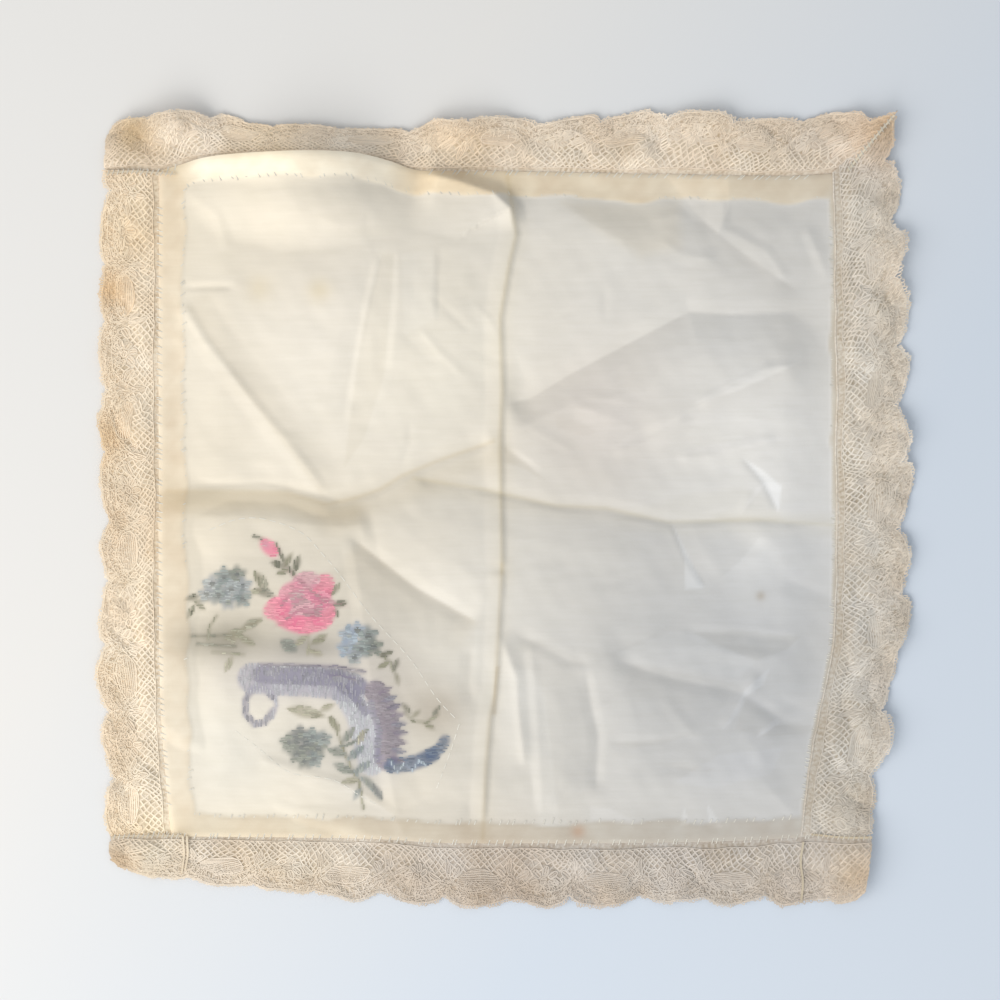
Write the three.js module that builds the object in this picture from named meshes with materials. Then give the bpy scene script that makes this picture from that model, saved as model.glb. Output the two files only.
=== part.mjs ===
// A lace-edged silk handkerchief lying on a flat surface, in millimetres, +Z up.
// The panel is creased in quarters, its top left edge stands up in a puff, and the lace edge waves a little.
import * as THREE from 'three';

// Driving dimensions
const SILK_THICKNESS = 1;
const HEM_EXTRA = 0.4; // the turned hem's second layer
const HEM_WIDTH = 7.5;
const HEM_STEP = 1; // the width of the step from hem to single cloth
const LACE_THICKNESS = 1.2;
const PATCH_THICKNESS = 1;
const SEAM_GAP = 0.3; // clearance between neighbouring pieces
const SCALLOP_DEPTH = 2.6; // from the top of a scallop down to the nick between two
const SCALLOP_FULLNESS = 0.55; // below 1 the scallops are round with sharp nicks
const PATCH_CLEARANCE = 0.35; // from the patch up to the silk
const PATCH_MARGIN = 11; // how far past the patch the silk stays lifted
const PATCH_SLOPE = 9; // how far the silk then takes to come down
const CREASE_TAPER = 9; // a crease fades out over this length at each end

// Facets
const SILK_CELLS = 35; // across the single cloth between the hems
const PATCH_CELLS = 11;
const CELLS_PER_SCALLOP = 6;
const LACE_CELLS_ACROSS = 3;

// Rows of numbers as objects with named columns.
function table(columns, ...rows) {
  return rows.map((row) => Object.fromEntries(columns.map((column, i) => [column, row[i]])));
}

// The silk's four edges as it lies. Each pair of edges runs the same way: left to right, bottom to top.
const SILK_EDGE = {
  top: table(
    ['x', 'y'],
    [-121.8, 117.6],
    [-115, 119.6],
    [-106, 121.8],
    [-80, 122.4],
    [-52, 122.4],
    [-41, 120.4],
    [-32, 117.8],
    [0, 117.4],
    [60, 116.2],
    [100, 115.8],
    [118.3, 116.9],
  ),
  bottom: table(
    ['x', 'y'],
    [-117.6, -115.2],
    [-80, -115.5],
    [-41, -116.2],
    [-24, -117.4],
    [18, -117.6],
    [60, -117.3],
    [88, -116.4],
    [107.1, -115.2],
  ),
  left: table(
    ['x', 'y'],
    [-117.6, -115.2],
    [-119, -102.6],
    [-121.2, -74],
    [-122, -30],
    [-122.2, 30],
    [-122.1, 90],
    [-121.8, 117.6],
  ),
  right: table(
    ['x', 'y'],
    [107.1, -115.2],
    [108.2, -106],
    [110.6, -86],
    [113.5, -73],
    [117.4, -54],
    [119.2, -36],
    [119.4, 13],
    [118.7, 97],
    [118.3, 116.9],
  ),
};

// The line through the tops of the scallops, clockwise round the cloth.
const SCALLOP_LINE = {
  top: table(
    ['x', 'y'],
    [-141, 128],
    [-136, 135],
    [-117, 138.4],
    [-102, 137],
    [-86, 134.2],
    [-60, 132.7],
    [-34, 132.6],
    [-20, 134.6],
    [18, 136],
    [72, 137.8],
    [99, 135.8],
    [120, 137.2],
    [134.2, 136.4],
  ),
  right: table(
    ['x', 'y'],
    [134.5, 136.1],
    [136, 118],
    [138.6, 88],
    [139.2, 60],
    [139.4, 24],
    [140.2, -14],
    [139.6, -42],
    [135.4, -57],
    [133.8, -76],
    [130.8, -92],
    [127.1, -115.2],
  ),
  bottom: table(
    ['x', 'y'],
    [124.3, -133],
    [118, -138.6],
    [88, -139],
    [40, -138.6],
    [14, -139.4],
    [-24, -138],
    [-72, -134.8],
    [-116, -130],
    [-133, -127.6],
    [-139.3, -123],
  ),
  left: table(
    ['x', 'y'],
    [-138.6, -115.2],
    [-140.4, -98],
    [-142.1, -80],
    [-142, -40],
    [-141.4, 2],
    [-142.5, 44],
    [-142, 93],
    [-141.4, 117.6],
  ),
};

// Where the sewn line of a length of lace runs on past the silk at a corner, from its outer end inwards.
const CORNER_X = { topLeft: [-141, -131], bottomRight: [126.8, 117], bottomLeft: [-139.3, -128] };

// Scallops along each length of lace, and where in a scallop the length begins.
const LACE_LENGTHS = {
  top: { scallops: 12, begins: 0.3 },
  right: { scallops: 11.5, begins: 0.5 },
  bottom: { scallops: 12, begins: 0.35 },
  left: { scallops: 10.4, begins: 0 },
};

// The edges of the embroidered patch, each from its left end.
const PATCH_EDGE = {
  northWest: table(['x', 'y'], [-113, -66], [-114, -38], [-109, -11], [-87, -4]),
  northEast: table(['x', 'y'], [-87, -4], [-72, -10], [-52, -33], [-34, -53], [-17, -75]),
  southWest: table(['x', 'y'], [-113, -66], [-94, -78], [-75, -92], [-52, -100], [-36, -107]),
  southEast: table(['x', 'y'], [-36, -107], [-27, -100], [-20, -86], [-17, -75]),
};

// Places where the cloth stands off the surface, each an oval bump.
const PUFFS = table(
  ['x', 'y', 'reachX', 'reachY', 'height'],
  [-72, 114, 46, 26, 10.5], // the top left edge
  [-62, 62, 58, 56, 4.2], // top left quarter
  [56, 64, 62, 56, 3.8], // top right quarter
  [-62, -56, 58, 56, 3.2], // lower left quarter
  [52, -56, 58, 58, 3.4], // lower right quarter
  [-118, 136, 22, 13, 6], // top left corner of the lace
  [-14, 135, 26, 13, 3.6],
  [72, 138, 30, 12, 2.4],
  [137, 137, 28, 28, 4.6], // top right corner of the lace
  [142, 88, 17, 20, 4.6],
  [142, 26, 15, 18, 3.4],
  [142, -16, 14, 18, 2.4],
  [140, -46, 14, 13, 3],
  [134, -80, 17, 18, 3.6],
  [130, -126, 27, 25, 5.4], // bottom right corner of the lace
);

// Creases: the line, the height at it (below 0 is a valley), and how far it reaches to each hand of the line.
const CREASES = table(
  ['line', 'height', 'leftReach', 'rightReach'],
  // quarter folds
  [[[-0.4, 114], [3, 95], [0, 85], [-3, 65], [-2, 5], [-3, -40], [-6, -73], [-9, -116]], -3.6, 15, 15],
  [[[-120, 5.6], [-77, 5], [-63, 1], [-46, 6], [-25, 16], [-5, 23]], -3, 12, 20],
  [[[-33, 10], [-11, 6.6], [17, 0.4], [56, -5], [87, -4.6], [118, -6]], -3, 14, 14],
  // top left quarter
  [[[-32, 117], [-17, 113.5], [-5, 109.5], [1, 104], [2, 96]], 6, 5, 20],
  [[[-116, 74], [-106, 58.5], [-88, 36], [-77, 23], [-63, 4]], 3.4, 12, 28],
  [[[-43, 92], [-47, 73], [-56, 30]], -2, 12, 9],
  // top right quarter
  [[[-1, 36], [8, 38], [21, 46], [42, 57], [63, 68], [78, 67], [115, 69]], -2.8, 22, 15],
  [[[51, 117], [64, 101], [71, 97], [87, 84], [99, 77], [112, 75]], -2.4, 18, 10],
  [[[16, 108], [30, 98], [39, 93], [45, 84]], 2.6, 12, 22],
  [[[64, 35], [80, 42], [90, 48], [101, 49]], 2, 9, 12],
  [[[-2, 24], [14, 32], [23, 37], [35, 31]], 2, 9, 12],
  // lower right quarter
  [[[90, -9], [80, -21], [65, -32], [51, -44], [33, -52]], -2.4, 12, 18],
  [[[27, -55], [29, -69], [31.5, -80], [30.5, -102]], -2, 14, 12],
  [[[35, -52], [51, -58], [62, -61], [76, -63], [85, -66]], 2.2, 12, 14],
  [[[84, -66], [95, -74], [113, -78]], 2, 12, 10],
  // lower left quarter
  [[[-57, -9], [-43, -20], [-34, -27], [-10, -41]], -2, 14, 16],
  [[[-3, -43], [3, -59], [3.5, -69], [6, -92]], 1.8, 9, 9],
);

// A point at a share of the way along a smooth line through the rows of a table.
function lineThrough(rows) {
  const curve = new THREE.CatmullRomCurve3(rows.map(({ x, y }) => new THREE.Vector3(x, y, 0)));
  return (share) => curve.getPointAt(THREE.MathUtils.clamp(share, 0, 1));
}

// The nearest place on a crease: how far off it is, which hand of the line, and how far the nearer end is.
function nearestOnLine(line, x, y) {
  let best = { distance: Infinity };
  let run = 0;
  for (let i = 1; i < line.length; i += 1) {
    const [startX, startY] = line[i - 1];
    const alongX = line[i][0] - startX;
    const alongY = line[i][1] - startY;
    const length = Math.hypot(alongX, alongY);
    const share = ((x - startX) * alongX + (y - startY) * alongY) / (length * length);
    const held = THREE.MathUtils.clamp(share, 0, 1);
    const offX = x - startX - held * alongX;
    const offY = y - startY - held * alongY;
    const distance = Math.hypot(offX, offY);
    if (distance < best.distance) {
      best = { distance, onLeft: alongX * offY - alongY * offX > 0, run: run + held * length };
    }
    run += length;
  }
  return { ...best, fromEnd: Math.min(best.run, run - best.run) };
}

// A crease is sharp along its line and eases out to each side.
function creaseHeight({ line, height, leftReach, rightReach }, x, y) {
  const { distance, onLeft, fromEnd } = nearestOnLine(line, x, y);
  const nearness = Math.max(0, 1 - distance / (onLeft ? leftReach : rightReach));
  return height * nearness * nearness * THREE.MathUtils.smoothstep(fromEnd, 0, CREASE_TAPER);
}

function puffHeight({ x, y, reachX, reachY, height }, atX, atY) {
  const nearness = Math.max(0, 1 - ((atX - x) / reachX) ** 2 - ((atY - y) / reachY) ** 2);
  return height * nearness * nearness;
}

// Once round the patch from its left corner, for the distance to it.
const PATCH_OUTLINE = [
  ...PATCH_EDGE.northWest,
  ...PATCH_EDGE.northEast.slice(1),
  ...PATCH_EDGE.southEast.toReversed().slice(1),
  ...PATCH_EDGE.southWest.toReversed().slice(1),
].map(({ x, y }) => [x, y]);

function insidePatch(x, y) {
  let inside = false;
  PATCH_OUTLINE.forEach(([endX, endY], i) => {
    const [startX, startY] = PATCH_OUTLINE.at(i - 1);
    const spansY = endY > y !== startY > y;
    const edgeX = startX + ((endX - startX) * (y - startY)) / (endY - startY);
    inside = inside !== (spansY && x < edgeX);
  });
  return inside;
}

// The silk lies over the patch and comes down to the surface a little way past it.
function heightOverPatch(x, y) {
  const distance = insidePatch(x, y) ? 0 : nearestOnLine(PATCH_OUTLINE, x, y).distance;
  const down = THREE.MathUtils.smoothstep(distance, PATCH_MARGIN, PATCH_MARGIN + PATCH_SLOPE);
  return (PATCH_THICKNESS + PATCH_CLEARANCE) * (1 - down);
}

// Underside of silk and lace above the surface, flat wherever the cloth touches it.
function clothHeight(x, y) {
  const puffs = PUFFS.reduce((sum, puff) => sum + puffHeight(puff, x, y), 0);
  const creases = CREASES.reduce((sum, crease) => sum + creaseHeight(crease, x, y), 0);
  return Math.max(0, puffs + creases, heightOverPatch(x, y));
}

// Evenly spaced shares from 0 to 1.
function evenShares(cells) {
  return Array.from({ length: cells + 1 }, (_, i) => i / cells);
}

// A closed sheet: an underside through pointAt(u, v), a face above it, and a rim round both.
// The u and v shares are where its columns and rows of corners stand.
function sheetGeometry(uShares, vShares, pointAt, heightAt, thicknessAt) {
  const columns = uShares.length - 1;
  const rows = vShares.length - 1;
  const rowLength = columns + 1;
  const layerSize = rowLength * (rows + 1);
  const positions = [];
  for (const layer of [0, 1]) {
    for (const v of vShares) {
      for (const u of uShares) {
        const { x, y } = pointAt(u, v);
        positions.push(x, y, heightAt(x, y) + layer * thicknessAt(u, v));
      }
    }
  }
  const index = [];
  const under = (column, row) => row * rowLength + column;
  const over = (column, row) => layerSize + under(column, row);
  const quad = (a, b, c, d) => index.push(a, b, c, a, c, d);
  for (let row = 0; row < rows; row += 1) {
    for (let column = 0; column < columns; column += 1) {
      quad(over(column, row), over(column + 1, row), over(column + 1, row + 1), over(column, row + 1));
      quad(under(column, row), under(column, row + 1), under(column + 1, row + 1), under(column + 1, row));
    }
  }
  for (let column = 0; column < columns; column += 1) {
    quad(under(column, 0), under(column + 1, 0), over(column + 1, 0), over(column, 0));
    quad(under(column + 1, rows), under(column, rows), over(column, rows), over(column + 1, rows));
  }
  for (let row = 0; row < rows; row += 1) {
    quad(under(0, row + 1), under(0, row), over(0, row), over(0, row + 1));
    quad(under(columns, row), under(columns, row + 1), over(columns, row + 1), over(columns, row));
  }
  const geometry = new THREE.BufferGeometry();
  geometry.setAttribute('position', new THREE.Float32BufferAttribute(positions, 3));
  geometry.setIndex(index);
  geometry.computeVertexNormals();
  return geometry;
}

// A plan shape between four edges, blended from all of them.
function between({ bottom, top, left, right }) {
  const [onBottom, onTop, onLeft, onRight] = [bottom, top, left, right].map(lineThrough);
  return (u, v) => {
    const across = onBottom(u).lerp(onTop(u), v);
    const upwards = onLeft(v).lerp(onRight(v), u);
    const corners = onBottom(0).lerp(onBottom(1), u).lerp(onTop(0).lerp(onTop(1), u), v);
    return across.add(upwards).sub(corners);
  };
}

// The sewn edge of each length of lace: the silk's edge a seam gap away, carried on round the corner.
function sewnLines() {
  const moved = (rows, byX, byY) => rows.map(({ x, y }) => ({ x: x + byX, y: y + byY }));
  const [topLeft] = SILK_EDGE.top;
  const [bottomLeft] = SILK_EDGE.bottom;
  const bottomRight = SILK_EDGE.bottom.at(-1);
  const level = (y, places) => places.map((x) => ({ x, y }));
  return {
    top: [...level(topLeft.y + SEAM_GAP, CORNER_X.topLeft), ...moved(SILK_EDGE.top, 0, SEAM_GAP)],
    right: moved(SILK_EDGE.right, SEAM_GAP, 0).toReversed(),
    bottom: [
      ...level(bottomRight.y - SEAM_GAP, CORNER_X.bottomRight),
      ...moved(SILK_EDGE.bottom, 0, -SEAM_GAP).toReversed(),
      ...level(bottomLeft.y - SEAM_GAP, CORNER_X.bottomLeft.toReversed()),
    ],
    left: moved(SILK_EDGE.left, -SEAM_GAP, 0),
  };
}

// A length of lace runs from its sewn line out to its scallops.
function lacePlan(sewnRows, scallopRows, { scallops, begins }) {
  const sewn = lineThrough(sewnRows);
  const scallopTops = lineThrough(scallopRows);
  return (u, v) => {
    const inner = sewn(u);
    const outer = scallopTops(u);
    const fullness = Math.abs(Math.sin(Math.PI * (begins + u * scallops))) ** SCALLOP_FULLNESS;
    const nick = (SCALLOP_DEPTH * (1 - fullness)) / outer.distanceTo(inner);
    return inner.lerp(outer, v * (1 - nick));
  };
}

const silkMaterial = new THREE.MeshStandardMaterial({ color: 0xf3ecd9, roughness: 0.6 });
const laceMaterial = new THREE.MeshStandardMaterial({ color: 0xe3d2b4, roughness: 0.9 });
const patchMaterial = new THREE.MeshStandardMaterial({ color: 0xe9e4da, roughness: 0.9 });

// Shares across the silk: the outer and inner line of each hem, and even cells between them.
function silkShares() {
  const side = SILK_EDGE.top.at(-1).x - SILK_EDGE.top[0].x;
  const hem = HEM_WIDTH / side;
  const single = hem + HEM_STEP / side;
  const middle = evenShares(SILK_CELLS).map((share) => single + share * (1 - 2 * single));
  return { stepMiddle: (hem + single) / 2, shares: [0, hem, ...middle, 1 - hem, 1] };
}

function silkPanel() {
  const { stepMiddle, shares } = silkShares();
  const inHem = (share) => Math.min(share, 1 - share) < stepMiddle;
  const thicknessAt = (u, v) => SILK_THICKNESS + (inHem(u) || inHem(v) ? HEM_EXTRA : 0);
  const geometry = sheetGeometry(shares, shares, between(SILK_EDGE), clothHeight, thicknessAt);
  const mesh = new THREE.Mesh(geometry, silkMaterial);
  mesh.name = 'silk_panel';
  return mesh;
}

function laceLength(side, sewnRows) {
  const plan = lacePlan(sewnRows, SCALLOP_LINE[side], LACE_LENGTHS[side]);
  const columns = Math.round(LACE_LENGTHS[side].scallops * CELLS_PER_SCALLOP);
  const geometry = sheetGeometry(
    evenShares(columns),
    evenShares(LACE_CELLS_ACROSS),
    plan,
    clothHeight,
    () => LACE_THICKNESS,
  );
  const mesh = new THREE.Mesh(geometry, laceMaterial);
  mesh.name = `lace_${side}`;
  return mesh;
}

function embroideredPatch() {
  const plan = between({
    bottom: PATCH_EDGE.southWest,
    top: PATCH_EDGE.northEast,
    left: PATCH_EDGE.northWest,
    right: PATCH_EDGE.southEast,
  });
  const cells = evenShares(PATCH_CELLS);
  const geometry = sheetGeometry(cells, cells, plan, () => 0, () => PATCH_THICKNESS);
  const mesh = new THREE.Mesh(geometry, patchMaterial);
  mesh.name = 'embroidered_patch';
  return mesh;
}

// Silk, lace and patch as they lie, set with the middle of the whole cloth over the origin.
const cloth = new THREE.Group();
cloth.add(silkPanel(), embroideredPatch());
for (const [side, sewnRows] of Object.entries(sewnLines())) {
  cloth.add(laceLength(side, sewnRows));
}
const extent = new THREE.Box3().setFromObject(cloth, true);
const middle = extent.getCenter(new THREE.Vector3());
cloth.position.set(-middle.x, -middle.y, -extent.min.z);

const handkerchief = new THREE.Group();
handkerchief.name = 'lace_handkerchief';
handkerchief.add(cloth);

export default handkerchief;
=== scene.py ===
"""The looks of a lace-edged silk handkerchief, laid out on a pale surface and seen from straight above.

Lengths are millimetres until a mesh is made. The outlines and the main folds are those of the solids.
"""

import math

import bpy
import numpy as np
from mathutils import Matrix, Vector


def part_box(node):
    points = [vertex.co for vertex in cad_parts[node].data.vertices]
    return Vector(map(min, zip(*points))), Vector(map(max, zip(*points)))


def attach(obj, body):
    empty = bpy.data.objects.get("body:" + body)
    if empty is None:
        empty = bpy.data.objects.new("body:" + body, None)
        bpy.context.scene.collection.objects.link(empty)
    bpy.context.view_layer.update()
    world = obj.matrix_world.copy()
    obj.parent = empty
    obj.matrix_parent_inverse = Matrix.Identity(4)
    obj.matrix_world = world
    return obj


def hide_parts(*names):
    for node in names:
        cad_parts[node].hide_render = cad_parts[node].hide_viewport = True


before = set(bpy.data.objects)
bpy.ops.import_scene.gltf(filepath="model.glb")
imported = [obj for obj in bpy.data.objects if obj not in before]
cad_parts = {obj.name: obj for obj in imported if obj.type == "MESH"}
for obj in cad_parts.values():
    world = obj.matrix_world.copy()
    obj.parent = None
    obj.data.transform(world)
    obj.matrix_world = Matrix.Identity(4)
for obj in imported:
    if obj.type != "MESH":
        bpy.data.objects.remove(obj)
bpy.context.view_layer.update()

MM = 0.001
TINT = "tint"
TINY = 1e-9
random = np.random.default_rng(7)

# The silk and its hem
HEM_WIDTH = 7.5
HEM_STEP = 1
HEM_FADE = 1.2 * HEM_STEP / HEM_WIDTH
HEM_WAVER = 2.5
HEM_RISE = 0.25
HEM_SEAT = 0.6
HEM_ROLL = 0.4
HEM_ROLL_SHARE = 0.22
SEAM_GAP = {"top": -0.5, "right": -5.0, "bottom": -0.5, "left": -0.5}
SILK_LIFT = 0.35
SILK_RIPPLE = 0.5
BILLOW = 2.2
BILLOW_REACH = 24

# The lace
LACE_LIFT = 0.3
LACE_RIPPLE = 2
LACE_SEATED = 0.3
LACE_WIDTH = 20
SCALLOP_PITCH = 22.5
SCALLOP_DEPTH = 2.6
SCALLOP_FULLNESS = 0.55

# The patch
PATCH_LIFT = 0.8
PATCH_THICKNESS = 1
PATCH_CLEARANCE = 0.35
PATCH_MARGIN = 11
PATCH_SLOPE = 9

# Folds and creases
CREASE_TAPER = 9
FOLD_SHARE = 0.8
CREASE_SHARE = 0.62
FOLD_SHARPNESS = 1.35
CREASE_SHARPNESS = 1.08
FINE_TAPER = 5
VALLEY_SOFTNESS = 0.8

# Cells of the meshes, and steps of a curve between two of its points
SILK_CELLS = 284
HEM_CELLS = 9
PATCH_CELLS = 60
CURVE_STEPS = 60


def cell(word):
    """A word of a table: a number, a tuple of numbers joined by commas, or a name."""
    if "," in word:
        return tuple(cell(part) for part in word.split(","))
    if word.lstrip("-").replace(".", "").isdigit():
        return float(word) if "." in word else int(word)
    return word


def table(text):
    """Rows as dictionaries. The first row names the columns, and a last column called line takes points.

    A row that starts with a hash is a heading.
    """
    heads, *rows = [row.split() for row in text.splitlines() if row.strip() and "#" not in row]
    made = []
    for row in rows:
        cells = [cell(word) for word in row]
        if heads[-1] == "line":
            rest = len(heads) - 1
            cells[rest:] = [cells[rest:]]
        made.append(dict(zip(heads, cells)))
    return made


def named(text):
    """A table of two columns, as a dictionary."""
    return dict(row.values() for row in table(text))


# The silk's four edges as it lies, as x,y: left to right and bottom to top.
SILK_EDGE = named("""
    side line
    top -121.8,117.6 -115,119.6 -106,121.8 -80,122.4 -52,122.4 -41,120.4 -32,117.8 0,117.4 60,116.2 \
        100,115.8 118.3,116.9
    bottom -117.6,-115.2 -80,-115.5 -41,-116.2 -24,-117.4 18,-117.6 60,-117.3 88,-116.4 107.1,-115.2
    left -117.6,-115.2 -119,-102.6 -121.2,-74 -122,-30 -122.2,30 -122.1,90 -121.8,117.6
    right 107.1,-115.2 108.2,-106 110.6,-86 113.5,-73 117.4,-54 119.2,-36 119.4,13 118.7,97 118.3,116.9
""")

# The line through the tops of the scallops, as x,y, clockwise round the cloth.
SCALLOP_LINE = named("""
    side line
    top -141,128 -136,135 -117,138.4 -102,137 -86,134.2 -60,132.7 -34,132.6 -20,134.6 18,136 72,137.8 \
        99,135.8 120,137.2 134.2,136.4
    right 134.5,136.1 136,118 138.6,88 139.2,60 139.4,24 140.2,-14 139.6,-42 135.4,-57 133.8,-76 \
        130.8,-92 127.1,-115.2
    bottom 124.3,-133 118,-138.6 88,-139 40,-138.6 14,-139.4 -24,-138 -72,-134.8 -116,-130 -133,-127.6 \
        -139.3,-123
    left -138.6,-115.2 -140.4,-98 -142.1,-80 -142,-40 -141.4,2 -142.5,44 -142,93 -141.4,117.6
""")

# Where the sewn line of a length of lace runs on past the silk at a corner, from its outer end inwards.
CORNER_X = {"top_left": (-141, -131), "bottom_right": (126.8, 117), "bottom_left": (-139.3, -128)}

# Scallops along each length of lace, where in a scallop the length begins, and how open and dark it is. The
# tone differs from side to side as painted light and shade: warmer and brighter to the left, darker to the
# right and bottom.
LACE_LENGTHS = table("""
    side scallops begins openness tone
    top 12 0.3 1 0.95,0.875,0.82
    right 11.5 0.5 0.8 0.812,0.785,0.782
    bottom 12 0.35 0.9 0.765,0.725,0.725
    left 10.4 0 0.9 1.0,0.91,0.815
""")

# Each side's hem: its width, and the colour that its doubled silk is multiplied by. These colours differ
# from side to side as painted light and shade: brighter to the left and top, darker to the right and bottom.
HEMS = table("""
    side width tone
    left 8.6 1.05,0.99,0.915
    right 5.2 0.88,0.825,0.73
    top 7.6 1.08,0.97,0.8
    bottom 7 0.86,0.81,0.74
""")

# The edges of the embroidered patch, as x,y, each from its left end.
PATCH_EDGE = named("""
    side line
    top -87,-4 -72,-10 -52,-33 -34,-53 -17,-75
    bottom -113,-66 -94,-78 -75,-92 -52,-100 -36,-107
    left -113,-66 -114,-38 -109,-11 -87,-4
    right -36,-107 -27,-100 -20,-86 -17,-75
""")

# Places where the cloth stands off the surface, each an oval bump.
PUFFS = table("""
    x y reach_x reach_y height
    -72 114 46 26 10.5
    -62 62 58 56 4.2
    56 64 62 56 3.8
    -62 -56 58 56 3.2
    52 -56 58 58 3.4
    -118 136 22 13 6
    -14 135 26 13 3.6
    72 138 30 12 2.4
    137 137 28 28 4.6
    142 88 17 20 4.6
    142 26 15 18 3.4
    142 -16 14 18 2.4
    140 -46 14 13 3
    134 -80 17 18 3.6
    130 -126 27 25 5.4
""")

# Main folds: the height at the line (below 0 is a valley), and the reach to each hand of the line.
FOLDS = table("""
    height left right line
    -0.7 13 15 -0.4,114 3,95 0,85 -3,65 -2,5 -3,-40 -6,-73 -9,-116
    -2.2 12 20 -120,5.6 -77,5 -63,1 -46,6 -25,16 -5,23
    -1.8 14 14 -33,10 -11,6.6 17,0.4 56,-5 87,-4.6 118,-6
    6 5 20 -32,117 -17,113.5 -5,109.5 1,104 2,96
    1.2 10 28 -116,74 -106,58.5 -88,36 -77,23 -63,4
    -1 12 9 -43,92 -47,73 -56,30
    -2.8 22 15 -1,36 8,38 21,46 42,57 63,68 78,67 115,69
    -0.9 18 10 51,117 64,101 71,97 87,84 99,77 112,75
    1.3 12 22 16,108 30,98 39,93 45,84
    1.3 10 14 46,25 64,34 80,42 90,48 106,50
    0.7 10 14 -2,24 12,32 23,35 37,31 50,24
    -1.2 12 18 90,-9 80,-21 65,-32 51,-44 33,-52
    -1.7 14 12 27,-55 29,-69 31.5,-80 30.5,-102
    -1.1 12 14 35,-52 51,-58 62,-61 76,-63 85,-66
    -0.9 12 10 84,-66 95,-74 113,-78
    -2 14 16 -57,-9 -43,-20 -34,-27 -10,-41
    1.8 9 9 -3,-43 3,-59 3.5,-69 6,-92
""")

# Pressed creases and small pleats of the thin silk, in the same columns.
CREASES = table("""
    height left right line
    # quarter folds
    1.5 1.8 6 -0.4,114 2.8,95 0.4,85 -2.8,65.5 -2.1,41 -2.8,24 -2.1,-23
    1.4 1.8 5 -2.1,-20 -3.2,-40 -4.6,-65 -6.3,-73 -7.7,-90 -8.8,-112
    -1.3 5 2.2 -119,5.6 -77,5 -63,1 -54,3 -45,6 -37,11 -25,16 -5,23
    -0.95 4 2.2 -33,10 -11,6.6 17,0.4 34,-0.4 56,-5.3 87,-4.6 116,-6.3
    1.8 7 14 -119,-3 -90,-3.4 -70,-6 -57,-7 -47,-5
    # top left quarter
    0.6 2.6 5 -114,72 -106,58 -88,36 -77,23 -63,4.6
    0.8 13 2.2 -44.8,88 -48,73.5 -52,50 -55.5,29
    0.4 5 2 -38.2,91 -38.2,73 -40.6,47
    -0.7 9 2 -23.6,91 -24.2,78 -24.2,64
    -0.8 2 1.6 -115,76.7 -94,76.7
    0.4 3 3 -102.6,106 -97.5,89
    0.45 2 3 -29,9.2 -9,6.6
    # top right quarter
    -0.8 5 9 -1,36 8,38 21,46 42,57 63,68 78,67 113,68.6
    0.8 3 6 75,110 75,97 90,89 98,78
    0.8 5 3 103.6,99 112.7,78
    0.5 3 3 49,100 64,102.6
    0.6 3 4 52,94 59.5,88 73,85.6
    0.8 3 5 65,35 80.5,42.4 90,48 100,49.4
    0.8 3 5 36,18.5 48,23 56,27 63,33
    0.7 3 5 58,17 71,18.2 82,21.4 94,24
    0.4 3 5 -2,24 6,28.5 14,32 23,36.6 34,31.5
    -0.6 2 4 -1.5,21 12.5,11
    -0.7 6 2 81,18.5 89.6,9.1 94.6,-2
    -0.7 6 2 56.6,-3.6 62.3,-16.8 70,-29
    0.6 2 3 86,6.4 80.6,-3
    # lower right quarter
    -0.5 4 7 89,-10 80.5,-21 65.5,-32 51.5,-44 33,-52
    -0.6 4 3 1,-43.6 10,-47.6 21.7,-54 31,-55
    1 15 3 8,-46 10,-70 12,-108
    -0.6 3 4 26.6,-56 29,-69 31.5,-80 30.5,-100
    -0.6 4 4 36,-52.6 51.5,-58 62,-60.6 84,-65.4
    -0.6 3 5 60,-43.2 81,-44.5 102,-47
    0.6 3 4 70,-50 88,-52.5 97,-52
    0.8 3 3 82.6,-66.4 87.8,-57
    0.8 3 4 83.6,-65 73.6,-77.4
    -0.5 3 4 82.4,-65.4 95.4,-73.8
    0.6 3 3 95,-72.6 87,-80.6
    -0.5 3 4 92,-66 110,-73.6
    -0.5 3 4 92.6,-75.4 113.6,-78.2
    -0.5 3 5 95,-24.8 109,-30 120,-34.4
    -0.6 3 4 34,-82.3 51.5,-81.6 67.6,-79.6
    -0.5 3 3 53,-90.6 68,-91.4
    # lower left quarter
    0.5 4 2.4 -3.2,-44 2.8,-59 3.5,-69 6,-91
    -0.6 4 4 -56,-9.6 -42.7,-20 -34,-27 -10.4,-41
    -0.6 3 4 -13,-47 -13.7,-61 -11.9,-70
    1 9 4 -55,-10 -51,-33 -47.6,-60 -43,-82 -39.6,-103 -33,-118
    0.5 6 6 -119,-42 -75,-42
    0.5 2 4 -87.6,-55.8 -70,-56.6 -48,-59.2
    0.8 2.6 5 -87.6,-87.5 -72,-92 -57,-97 -49,-101 -40,-107 -34,-114 -32.4,-119
""")

# The silk's top edge curls up from the lace here.
CURL = dict(x=-72, y=127, reach_x=52, reach_y=17, height=6.4)
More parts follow.
